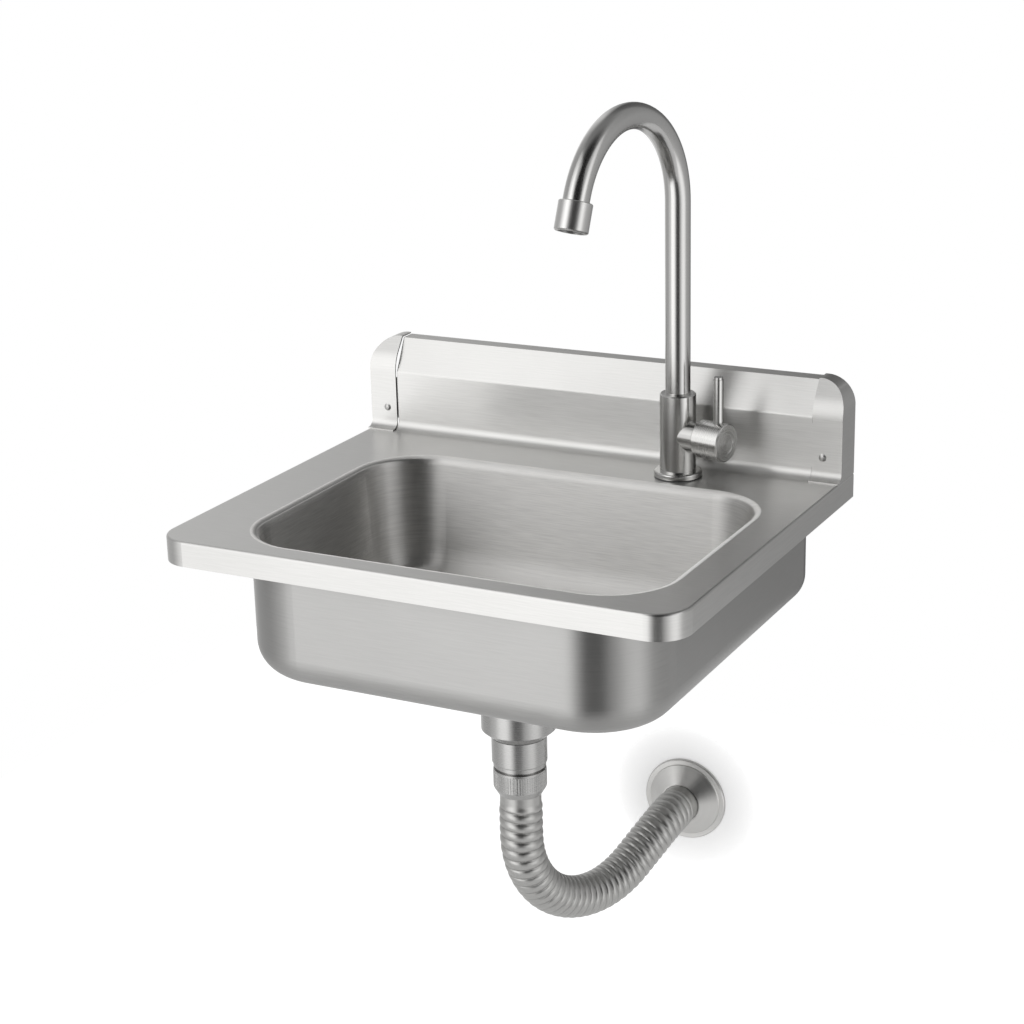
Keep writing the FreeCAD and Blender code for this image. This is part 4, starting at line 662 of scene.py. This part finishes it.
@dataclass
class DrainPipe:
    """The ribbed drain pipe, formed along its bent route from the waste to the wall.

    Attributes:
        route: The corners of the pipe's middle line.
        bends: The bend's radius at each corner.
        bend_steps: How many points a bend has before the line is evened out.
        plain_radius: The radius of the plain ends.
        crest_radius: The radius on a rib.
        root_radius: The radius in a crease.
        bore_radius: The radius inside.
        flange_radius: The radius of the flange in the coupling nut.
        flange_length: The flange's thickness.
        ribs_from: Where the ribs start along the line.
        ribs_to: Where they end.
        rib_lead: The length over which they rise and die away.
        first_pitch: The ribs' pitch where they start.
        last_pitch: Their pitch where they end.
        rib_shape: One rib's height over its pitch.
        plain_crest: The height that the plain ends count as for the finish.
        step: The length of one step along the outside.
        bore_step: The length of one step along the bore.
        around: How many steps go round the pipe.
        steel: The finish.
    """

    route: tuple[Triple, ...] = (
        (WASTE_AXIS[0], WASTE_AXIS[1], -0.2685), (WASTE_AXIS[0], WASTE_AXIS[1], -0.464),
        (ROSETTE_MIDDLE[0], -0.042, ROSETTE_MIDDLE[2]), (ROSETTE_MIDDLE[0], 0.028, ROSETTE_MIDDLE[2]))
    bends: tuple[float, ...] = (0.0, 0.083, 0.060, 0.0)
    bend_steps: int = 48
    plain_radius: float = 0.0167
    crest_radius: float = 0.0176
    root_radius: float = 0.0160
    bore_radius: float = 0.0140
    flange_radius: float = 0.0187
    flange_length: float = 0.0025
    ribs_from: float = 0.0175
    ribs_to: float = 0.2946
    rib_lead: float = 0.006
    first_pitch: float = 0.0082
    last_pitch: float = 0.0058
    rib_shape: tuple[tuple[float, float], ...] = (
        (0.0, 0.0), (0.1, 0.5), (0.3, 0.9), (0.52, 1.0), (0.75, 0.86), (0.92, 0.42), (1.0, 0.0))
    plain_crest: float = 0.7
    step: float = 0.0006
    bore_step: float = 0.004
    around: int = 96
    steel: RibbedSteel = RibbedSteel("ribbed_steel", tone=(0.48, 0.477, 0.465), roughness=0.33)

    def host(self) -> bpy.types.Mesh:
        """Makes the route as joined edges, with each corner's bend radius.

        Returns:
            The route's mesh.
        """
        mesh = bpy.data.meshes.new("pipe_route")
        mesh.from_pydata(self.route, [(i, i + 1) for i in range(len(self.route) - 1)], [])
        mesh.attributes.new("bend", "FLOAT", "POINT").data.foreach_set("value", self.bends)
        return mesh

    def sizes(self) -> dict[str, object]:
        """Gives the outside's sizes by the tree's input names.

        Returns:
            The sizes.
        """
        return {
            "Step": self.step, "Around": self.around, "Plain Radius": self.plain_radius,
            "Crest Radius": self.crest_radius, "Root Radius": self.root_radius,
            "Flange Radius": self.flange_radius, "Flange Length": self.flange_length,
            "Ribs From": self.ribs_from, "Ribs To": self.ribs_to,
            "First Pitch": self.first_pitch, "Last Pitch": self.last_pitch}

    def tree(self) -> GeometryTree:
        """Builds the geometry tree that sweeps a ring along the route and forms the ribs.

        Returns:
            The tree.
        """
        made = GeometryTree("ribbed_pipe", self.sizes())
        board = made.board
        line, along, centre = board.capture(
            self.middle_line(made), along=board.add("GeometryNodeSplineParameter").outputs["Length"],
            centre=board.add("GeometryNodeInputPosition").outputs[0])
        circle = board.add("GeometryNodeCurvePrimitiveCircle", {
            "Resolution": made.value("Around"), "Radius": made.value("Plain Radius")}, mode="RADIUS")
        ring, share = board.capture(
            circle.outputs[0], share=board.add("GeometryNodeSplineParameter").outputs["Factor"])
        skin = board.add("GeometryNodeCurveToMesh", {"Curve": line, "Profile Curve": ring}).outputs[0]
        height, fade = self.rib_height(made, along, share)
        rise = board.math("SUBTRACT", made.value("Crest Radius"), made.value("Root Radius"))
        ribbed = board.math("MULTIPLY_ADD", height, rise, made.value("Root Radius"))
        in_flange = board.math("LESS_THAN", along, made.value("Flange Length"))
        flange = board.math("MULTIPLY", in_flange, made.value("Flange Radius"))
        distance = board.math("MAXIMUM", board.mix(fade, made.value("Plain Radius"), ribbed), flange)
        here = board.add("GeometryNodeInputPosition").outputs[0]
        outward = board.vector("NORMALIZE", board.vector("SUBTRACT", here, centre))
        formed = board.add("GeometryNodeSetPosition", {
            "Geometry": skin, "Position": board.vector("ADD", centre, board.scale(outward, distance))})
        marked = board.add("GeometryNodeStoreNamedAttribute", {
            "Geometry": formed.outputs[0], "Name": "crest", "Value": board.mix(fade, self.plain_crest, height)},
            data_type="FLOAT", domain="POINT")
        made.close(board.add("GeometryNodeSetShadeSmooth", {0: marked.outputs[0]}).outputs[0])
        return made

    def middle_line(self, made: GeometryTree) -> Socket:
        """Bends the host's edges at their corners and divides the line evenly.

        Args:
            made: The tree.

        Returns:
            The line.
        """
        board = made.board
        line = board.add("GeometryNodeMeshToCurve", {0: made.value("Geometry")}).outputs[0]
        radius = board.add("GeometryNodeInputNamedAttribute", {"Name": "bend"}, data_type="FLOAT").outputs[0]
        bent = board.add("GeometryNodeFilletCurve", {
            "Curve": line, "Count": self.bend_steps, "Radius": radius}, mode="POLY").outputs[0]
        even = board.add("GeometryNodeResampleCurve", {
            "Curve": bent, "Length": made.value("Step")}, mode="LENGTH").outputs[0]
        return board.add("GeometryNodeSetCurveRadius", {"Curve": even, "Radius": 1.0}).outputs[0]

    def rib_height(self, made: GeometryTree, along: Socket, share: Socket) -> tuple[Socket, Socket]:
        """Gives the ribs' height as one helix whose pitch changes evenly along the pipe.

        Args:
            made: The tree.
            along: The length from the start at each point.
            share: The share of the turn round the pipe at each point.

        Returns:
            The height from 0 in a crease to 1 on a crest, and where the ribs fade in and out.
        """
        board = made.board
        start, end, first = made.value("Ribs From"), made.value("Ribs To"), made.value("First Pitch")
        into = board.math("MAXIMUM", board.math("SUBTRACT", along, start), 0.0)
        change = board.math("SUBTRACT", made.value("Last Pitch"), first)
        slope = board.math("DIVIDE", change, board.math("SUBTRACT", end, start))
        growth = board.math("DIVIDE", board.math("MULTIPLY", slope, into), first)
        turns = board.math("DIVIDE", board.math("LOGARITHM", board.math("ADD", growth, 1.0), math.e), slope)
        phase = board.math("FRACT", board.math("ADD", turns, share))
        curve = board.add("ShaderNodeFloatCurve", {"Value": phase})
        points = curve.mapping.curves[0].points
        points[0].location, points[1].location = self.rib_shape[0], self.rib_shape[-1]
        for spot in self.rib_shape[1:-1]:
            points.new(*spot)
        curve.mapping.update()
        lead_in = board.ramp(board.math("SUBTRACT", along, start), 0.0, self.rib_lead, smooth=True)
        lead_out = board.ramp(board.math("SUBTRACT", end, along), 0.0, self.rib_lead, smooth=True)
        return curve.outputs[0], board.math("MULTIPLY", lead_in, lead_out)

    def build(self) -> None:
        """Builds the ribbed pipe with its bore and dresses it."""
        tree = self.tree()
        sizes = self.sizes() | {"Material": self.steel.material()}
        radii = ("Plain Radius", "Crest Radius", "Root Radius", "Flange Radius")
        smooth = dict.fromkeys(radii, self.bore_radius) | {"Step": self.bore_step, "Flange Length": 0.0}
        outer = tree.run(self.host(), sizes)
        inner = tree.run(self.host(), sizes | smooth)
        pipe = add_piece("drain_pipe_ribbed", join_skins(outer, inner), Body.SINK)
        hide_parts("drain_hose")


def join_skins(outer: bpy.types.Mesh, inner: bpy.types.Mesh) -> bpy.types.Mesh:
    """Joins an outer and an inner tube skin into one closed pipe wall.

    Args:
        outer: The outer skin, open at both ends.
        inner: The inner skin, open at both ends.

    Returns:
        The closed mesh.
    """
    form = bmesh.new()
    form.from_mesh(outer)
    form.from_mesh(inner)
    loops = open_loops(form)
    # The outer skin's two ends come first, because its edges do.
    for first in loops[:2]:
        middle = loop_middle(first)
        second = min(loops[2:], key=lambda loop: (loop_middle(loop) - middle).length)
        bmesh.ops.bridge_loops(form, edges=first + second)
    bmesh.ops.recalc_face_normals(form, faces=form.faces)
    form.to_mesh(outer)
    form.free()
    for face in outer.polygons:
        face.use_smooth = True
    bpy.data.meshes.remove(inner)
    return outer


def open_loops(form: bmesh.types.BMesh) -> list[list[bmesh.types.BMEdge]]:
    """Finds the open edge loops of a mesh in the order of their edges.

    Args:
        form: The mesh.

    Returns:
        One list of edges for each open loop.
    """
    left = {edge for edge in form.edges if edge.is_boundary}
    loops = []
    for seed in form.edges:
        if seed not in left:
            continue
        loop, waiting = [], [seed]
        left.discard(seed)
        while waiting:
            edge = waiting.pop()
            loop.append(edge)
            for corner in edge.verts:
                for other in corner.link_edges:
                    if other in left:
                        left.discard(other)
                        waiting.append(other)
        loops.append(loop)
    return loops


def loop_middle(loop: list[bmesh.types.BMEdge]) -> Vector:
    """Gives the middle of an edge loop.

    Args:
        loop: The loop's edges.

    Returns:
        The mean of its points.
    """
    points = [corner.co for edge in loop for corner in edge.verts]
    return sum(points, Vector()) / len(points)


@dataclass
class NutFlutes:
    """Fine upright ridges pressed round the drain pipe's coupling nut.

    Attributes:
        count: How many ridges there are.
        nut_radius: The nut's radius.
        low: The height of the ridges' lower end.
        high: The height of their upper end.
        half_width: Half a ridge's width.
        rise: How far it stands out.
        sunk: How far it reaches into the nut.
        end_slope: The length over which it rises at its ends.
        end_rise: The share of its rise right at the ends.
        profile: The ridge's section, as shares of its half width and rise.
    """

    count: int = 60
    nut_radius: float = 0.0212
    low: float = -0.2728
    high: float = -0.2582
    half_width: float = 0.0006
    rise: float = 0.0003
    sunk: float = 0.0004
    end_slope: float = 0.0008
    end_rise: float = 0.15
    profile: tuple[tuple[float, float], ...] = ((-1.0, 0.0), (-0.55, 0.75), (0.0, 1.0), (0.55, 0.75), (1.0, 0.0))

    def ridge(self) -> bpy.types.Mesh:
        """Makes one closed ridge with a rounded crown and sloped ends, on the +X side of its middle.

        Returns:
            The ridge's mesh.
        """
        levels = ((self.low, self.end_rise), (self.low + self.end_slope, 1.0),
                  (self.high - self.end_slope, 1.0), (self.high, self.end_rise))
        points = []
        for z, share in levels:
            points += [(self.nut_radius + self.rise * lift * share, self.half_width * side, z)
                       for side, lift in self.profile]
            points += [(self.nut_radius - self.sunk, self.half_width * side, z) for side in (1.0, -1.0)]
        size = len(self.profile) + 2
        top = (len(levels) - 1) * size
        faces = [tuple(reversed(range(size))), tuple(range(top, top + size))]
        for row in range(0, top, size):
            for i in range(size):
                j = (i + 1) % size
                faces.append((row + i, row + j, row + size + j, row + size + i))
        mesh = bpy.data.meshes.new("ridge")
        mesh.from_pydata(points, [], faces)
        return mesh

    def build(self) -> None:
        """Repeats the ridge round the nut and dresses it."""
        sizes = {"Count": self.count, "Middle": WASTE_AXIS}
        made = GeometryTree("nut_flutes", sizes)
        board = made.board
        spots = board.add("GeometryNodeMeshLine", {
            "Count": made.value("Count"), "Offset": (0.0, 0.0, 0.0)}, mode="OFFSET").outputs[0]
        number = board.add("GeometryNodeInputIndex").outputs[0]
        angle = board.math("DIVIDE", board.math("MULTIPLY", number, math.tau), made.value("Count"))
        turn = board.add("ShaderNodeCombineXYZ", {2: angle}).outputs[0]
        ring = board.add("GeometryNodeInstanceOnPoints", {
            "Points": spots, "Instance": made.value("Geometry"), "Rotation": turn}).outputs[0]
        moved = board.add("GeometryNodeTransform", {"Geometry": ring, "Translation": made.value("Middle")})
        made.close(moved.outputs[0])
        mesh = made.run(self.ridge(), sizes | {"Material": WASTE_STEEL.material()})
        add_piece("nut_flutes", mesh, Body.SINK)


@dataclass
class WallFittings:
    """The rosette on the wall, the sleeve behind it and its seal."""

    rosette: TurnedSteel = TurnedSteel("turned_rosette", tone=(0.66, 0.655, 0.64), roughness=0.36,
                                       centre=ROSETTE_MIDDLE, axis=(0.0, 1.0, 0.0))
    sleeve: Moulded = Moulded("grey_sleeve", tone=(0.25, 0.25, 0.26), roughness=0.45)

    def build(self) -> None:
        """Dresses the wall fittings."""
        dress(self.rosette, "wall_rosette")
        dress(self.sleeve, "wall_sleeve")
        dress(RUBBER, "wall_seal")


@dataclass(frozen=True)
class SoftLamp:
    """A square lamp that faces the sink.

    Attributes:
        name: Its name.
        place: Where it stands.
        size: Its side.
        power: Its power in watts.
    """

    name: str
    place: Triple
    size: float
    power: float

    def build(self, aim: Triple) -> None:
        """Adds the lamp.

        Args:
            aim: The point that it faces.
        """
        data = bpy.data.lights.new(self.name, "AREA")
        data.shape = "SQUARE"
        data.size = self.size
        data.energy = self.power
        lamp = bpy.data.objects.new(self.name, data)
        lamp.location = self.place
        lamp.rotation_euler = (Vector(aim) - Vector(self.place)).to_track_quat("-Z", "Y").to_euler()
        bpy.context.scene.collection.objects.link(lamp)


@dataclass
class Studio:
    """The camera at the photograph's angle, the soft lights, the pale floor and the bit of wall.

    Attributes:
        camera_place: Where the camera stands.
        azimuth: Its turn about Z.
        elevation: How far it looks down.
        roll: Its turn about its own axis.
        lens: Its focal length in millimetres.
        sensor: Its sensor's width in millimetres.
        shift: Its shift right and up.
        clip: The nearest and the farthest distance that it sees.
        lamps: The soft lamps.
        lamp_aim: The point that they face.
        fill_level: The world's light on the object.
        overhead_level: How light the ceiling is.
        overhead_band: The heights between which the walls turn into the ceiling.
        dark_way: The direction of the room's dark part.
        dark_band: The cosines between which that part sets in.
        dark_level: How much light is left in it.
        wall_band: The heights between which the walls get darker upwards.
        wall_top: How much of their light is left at the upper one.
        floor_level: The floor's height.
        floor_size: The floor's side.
        pale: The floor's and the wall's colour.
        glow: The light that makes them white to the camera.
        mirrored_glow: The light that steel sees on them.
        spot_gap: How far the bit of wall lies behind the wall plane.
        spot_hole: The radius of the hole in it.
        spot_full: The radius up to which it is solid.
        spot_clear: The radius from which it is clear.
        spot_reach: Its own radius.
        spot_steps: How many sides it has.
        painted_shadow_band: The radii between which the painted soft shadow round the rosette fades out.
        painted_shadow_glow: The glow at the smaller one, lowered to paint that shadow.
    """

    camera_place: Triple = (0.7744, -1.6649, 0.4992)
    azimuth: float = math.radians(27.95)
    elevation: float = math.radians(18.89)
    roll: float = math.radians(-1.57)
    lens: float = 79.52
    sensor: float = 36.0
    shift: tuple[float, float] = (0.0127, 0.0273)
    clip: tuple[float, float] = (0.05, 50.0)
    lamps: tuple[SoftLamp, ...] = (SoftLamp("lamp_key", (-0.9, -1.6, 1.5), 2.0, 6.0),
                                   SoftLamp("lamp_side", (1.8, -0.4, 1.0), 1.4, 2.5))
    lamp_aim: Triple = (0.0, -0.18, -0.1)
    fill_level: float = 0.75
    overhead_level: float = 0.3
    overhead_band: tuple[float, float] = (0.65, 0.95)
    dark_way: Triple = (0.426, -0.609, 0.669)
    dark_band: tuple[float, float] = (0.574, 0.906)
    dark_level: float = 0.04
    wall_band: tuple[float, float] = (0.05, 0.45)
    wall_top: float = 0.85
    floor_level: float = -0.82
    floor_size: float = 2.4
    pale: tuple[float, ...] = (0.8, 0.8, 0.8, 1.0)
    glow: float = 0.5
    mirrored_glow: float = 0.1
    spot_gap: float = 0.0004
    spot_hole: float = 0.030
    spot_full: float = 0.056
    spot_clear: float = 0.082
    spot_reach: float = 0.084
    spot_steps: int = 96
    # Painted shadow round the rosette, made by a lower glow near it.
    painted_shadow_band: tuple[float, float] = (0.034, 0.07)
    painted_shadow_glow: float = 0.33

    def build(self) -> None:
        """Builds the whole studio."""
        self.add_camera()
        self.add_world()
        for lamp in self.lamps:
            lamp.build(self.lamp_aim)
        self.add_floor()
        self.add_wall_spot()
        bpy.context.scene.view_settings.view_transform = "Standard"

    def add_camera(self) -> None:
        """Sets the camera at the photograph's place and turn."""
        data = bpy.data.cameras.new("camera")
        data.sensor_width = self.sensor
        data.lens = self.lens
        data.shift_x, data.shift_y = self.shift
        data.clip_start, data.clip_end = self.clip
        camera = bpy.data.objects.new("camera", data)
        turn = (Matrix.Rotation(self.azimuth, 4, "Z") @ Matrix.Rotation(math.pi / 2 - self.elevation, 4, "X")
                @ Matrix.Rotation(self.roll, 4, "Z"))
        camera.matrix_world = Matrix.Translation(self.camera_place) @ turn
        bpy.context.scene.collection.objects.link(camera)
        bpy.context.scene.camera = camera

    def add_world(self) -> None:
        """Builds a white world whose walls, as the steel mirrors them, are light and dark in turn."""
        world = bpy.data.worlds.new("studio")
        bpy.context.scene.world = world
        world.use_nodes = True
        world.node_tree.nodes.clear()
        board = NodeBoard(world.node_tree)
        ray = board.add("ShaderNodeLightPath").outputs
        seen = board.blend(ray["Is Camera Ray"], self.room(board), (1.0, 1.0, 1.0))
        direct = board.math("ADD", ray["Is Camera Ray"], ray["Is Glossy Ray"])
        direct = board.math("MINIMUM", board.math("ADD", direct, ray["Is Transmission Ray"]), 1.0)
        fill = board.add("ShaderNodeBackground", {"Color": (1.0, 1.0, 1.0, 1.0), "Strength": self.fill_level})
        shown = board.add("ShaderNodeBackground", {"Color": seen, "Strength": 1.0})
        both = board.add("ShaderNodeMixShader", {0: direct, 1: fill.outputs[0], 2: shown.outputs[0]}).outputs[0]
        board.add("ShaderNodeOutputWorld", {"Surface": both})

    def room(self, board: NodeBoard) -> Socket:
        """Gives the room's light by direction, as the steel mirrors it.

        Args:
            board: The world's nodes.

        Returns:
            The light's colour.
        """
        way = board.add("ShaderNodeTexCoord").outputs["Generated"]
        right, back, up = board.add("ShaderNodeSeparateXYZ", {0: way}).outputs
        bearing = board.math("ARCTAN2", right, board.math("MULTIPLY", back, -1.0))
        walls = board.add("ShaderNodeValToRGB", {0: board.ramp(bearing, -math.pi, math.pi)})
        self.set_stops(walls.color_ramp)
        overhead = board.ramp(up, *self.overhead_band, smooth=True)
        whole = board.blend(overhead, walls.outputs[0], (self.overhead_level,) * 3)
        dark = board.ramp(board.dot(way, self.dark_way), *self.dark_band, 1.0, self.dark_level, smooth=True)
        fading = board.ramp(up, *self.wall_band, 1.0, self.wall_top)
        return board.scale(whole, board.math("MULTIPLY", dark, fading))

    @staticmethod
    def set_stops(ramp: bpy.types.ColorRamp) -> None:
        """Sets how light the room's walls are all round.

        Args:
            ramp: The colour ramp over the whole turn.
        """
        ramp.interpolation = "LINEAR"
        while len(ramp.elements) > 1:
            ramp.elements.remove(ramp.elements[-1])
        for number, (bearing, level) in enumerate(ROOM_LIGHT.items()):
            place = (bearing + 180.0) / 360.0
            stop = ramp.elements.new(place) if number else ramp.elements[0]
            stop.position = place
            stop.color = (level, level, level, 1.0)

    def add_floor(self) -> None:
        """Adds the plain pale floor far below the sink."""
        half = self.floor_size / 2
        corners = [(x, y, self.floor_level) for x, y in ((-half, -half), (half, -half), (half, half), (-half, half))]
        made, board = new_material("pale_floor")
        board.add("ShaderNodeOutputMaterial", {"Surface": self.stage_surface(board, self.glow)})
        self.add_stage("floor", corners, [(0, 1, 2, 3)], made)

    def add_wall_spot(self) -> None:
        """Adds the bit of wall round the rosette that takes its soft shadow, with a painted shadow round the rosette
        where its glow is lowered.
        """
        x, _, z = ROSETTE_MIDDLE
        count = self.spot_steps
        turns = [math.tau * step / count for step in range(count)]
        rings = [(x + radius * math.cos(turn), self.spot_gap, z + radius * math.sin(turn))
                 for radius in (self.spot_hole, self.spot_reach) for turn in turns]
        faces = [(i, (i + 1) % count, count + (i + 1) % count, count + i) for i in range(count)]
        made, board = new_material("pale_wall")
        place = board.add("ShaderNodeTexCoord").outputs["Object"]
        away = board.length(board.vector("SUBTRACT", place, (x, self.spot_gap, z)))
        # Painted shadow: the glow is lowered near the rosette, so the wall is darker round it.
        glow = board.ramp(away, *self.painted_shadow_band, self.painted_shadow_glow, self.glow, smooth=True)
        clear = board.ramp(away, self.spot_full, self.spot_clear, smooth=True)
        through = board.add("ShaderNodeBsdfTransparent").outputs[0]
        surface = board.add("ShaderNodeMixShader", {0: clear, 1: self.stage_surface(board, glow), 2: through})
        board.add("ShaderNodeOutputMaterial", {"Surface": surface.outputs[0]})
        self.add_stage("wall_spot", rings, faces, made)

    @staticmethod
    def add_stage(name: str, points: list[Triple], faces: list[tuple[int, ...]], paint: bpy.types.Material) -> None:
        """Adds a flat stage piece.

        Args:
            name: Its name.
            points: Its corners.
            faces: Its faces, by corner number.
            paint: Its material.
        """
        mesh = bpy.data.meshes.new(name)
        mesh.from_pydata(points, [], faces)
        mesh.materials.append(paint)
        piece = bpy.data.objects.new(name, mesh)
        bpy.context.scene.collection.objects.link(piece)

    def stage_surface(self, board: NodeBoard, glow: object) -> Socket:
        """Adds a pale surface that is white to the camera and keeps soft shadows.

        Args:
            board: The material's nodes.
            glow: The light that the camera sees on it, a number or socket.

        Returns:
            The surface.
        """
        ray = board.add("ShaderNodeLightPath").outputs
        mirrored = board.math("ADD", ray["Is Glossy Ray"], ray["Is Transmission Ray"])
        level = board.math("ADD", board.math("MULTIPLY", ray["Is Camera Ray"], glow),
                           board.math("MULTIPLY", mirrored, self.mirrored_glow))
        matt = board.add("ShaderNodeBsdfDiffuse", {"Color": self.pale}).outputs[0]
        light = board.add("ShaderNodeEmission", {"Color": (1.0, 1.0, 1.0, 1.0), "Strength": level}).outputs[0]
        return board.add("ShaderNodeAddShader", {0: matt, 1: light}).outputs[0]


def main() -> None:
    """Builds the sub-assemblies and the studio in order."""
    logging.basicConfig(level=logging.INFO, format="%(name)s: %(message)s")
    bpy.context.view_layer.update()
    for part in (Studio(), DeckAssembly(), BasinAssembly(), TapAssembly(), DrainPipe(), NutFlutes(), WallFittings()):
        part.build()
        LOG.info("%s done", type(part).__name__)


if __name__ == "__main__":
    main()
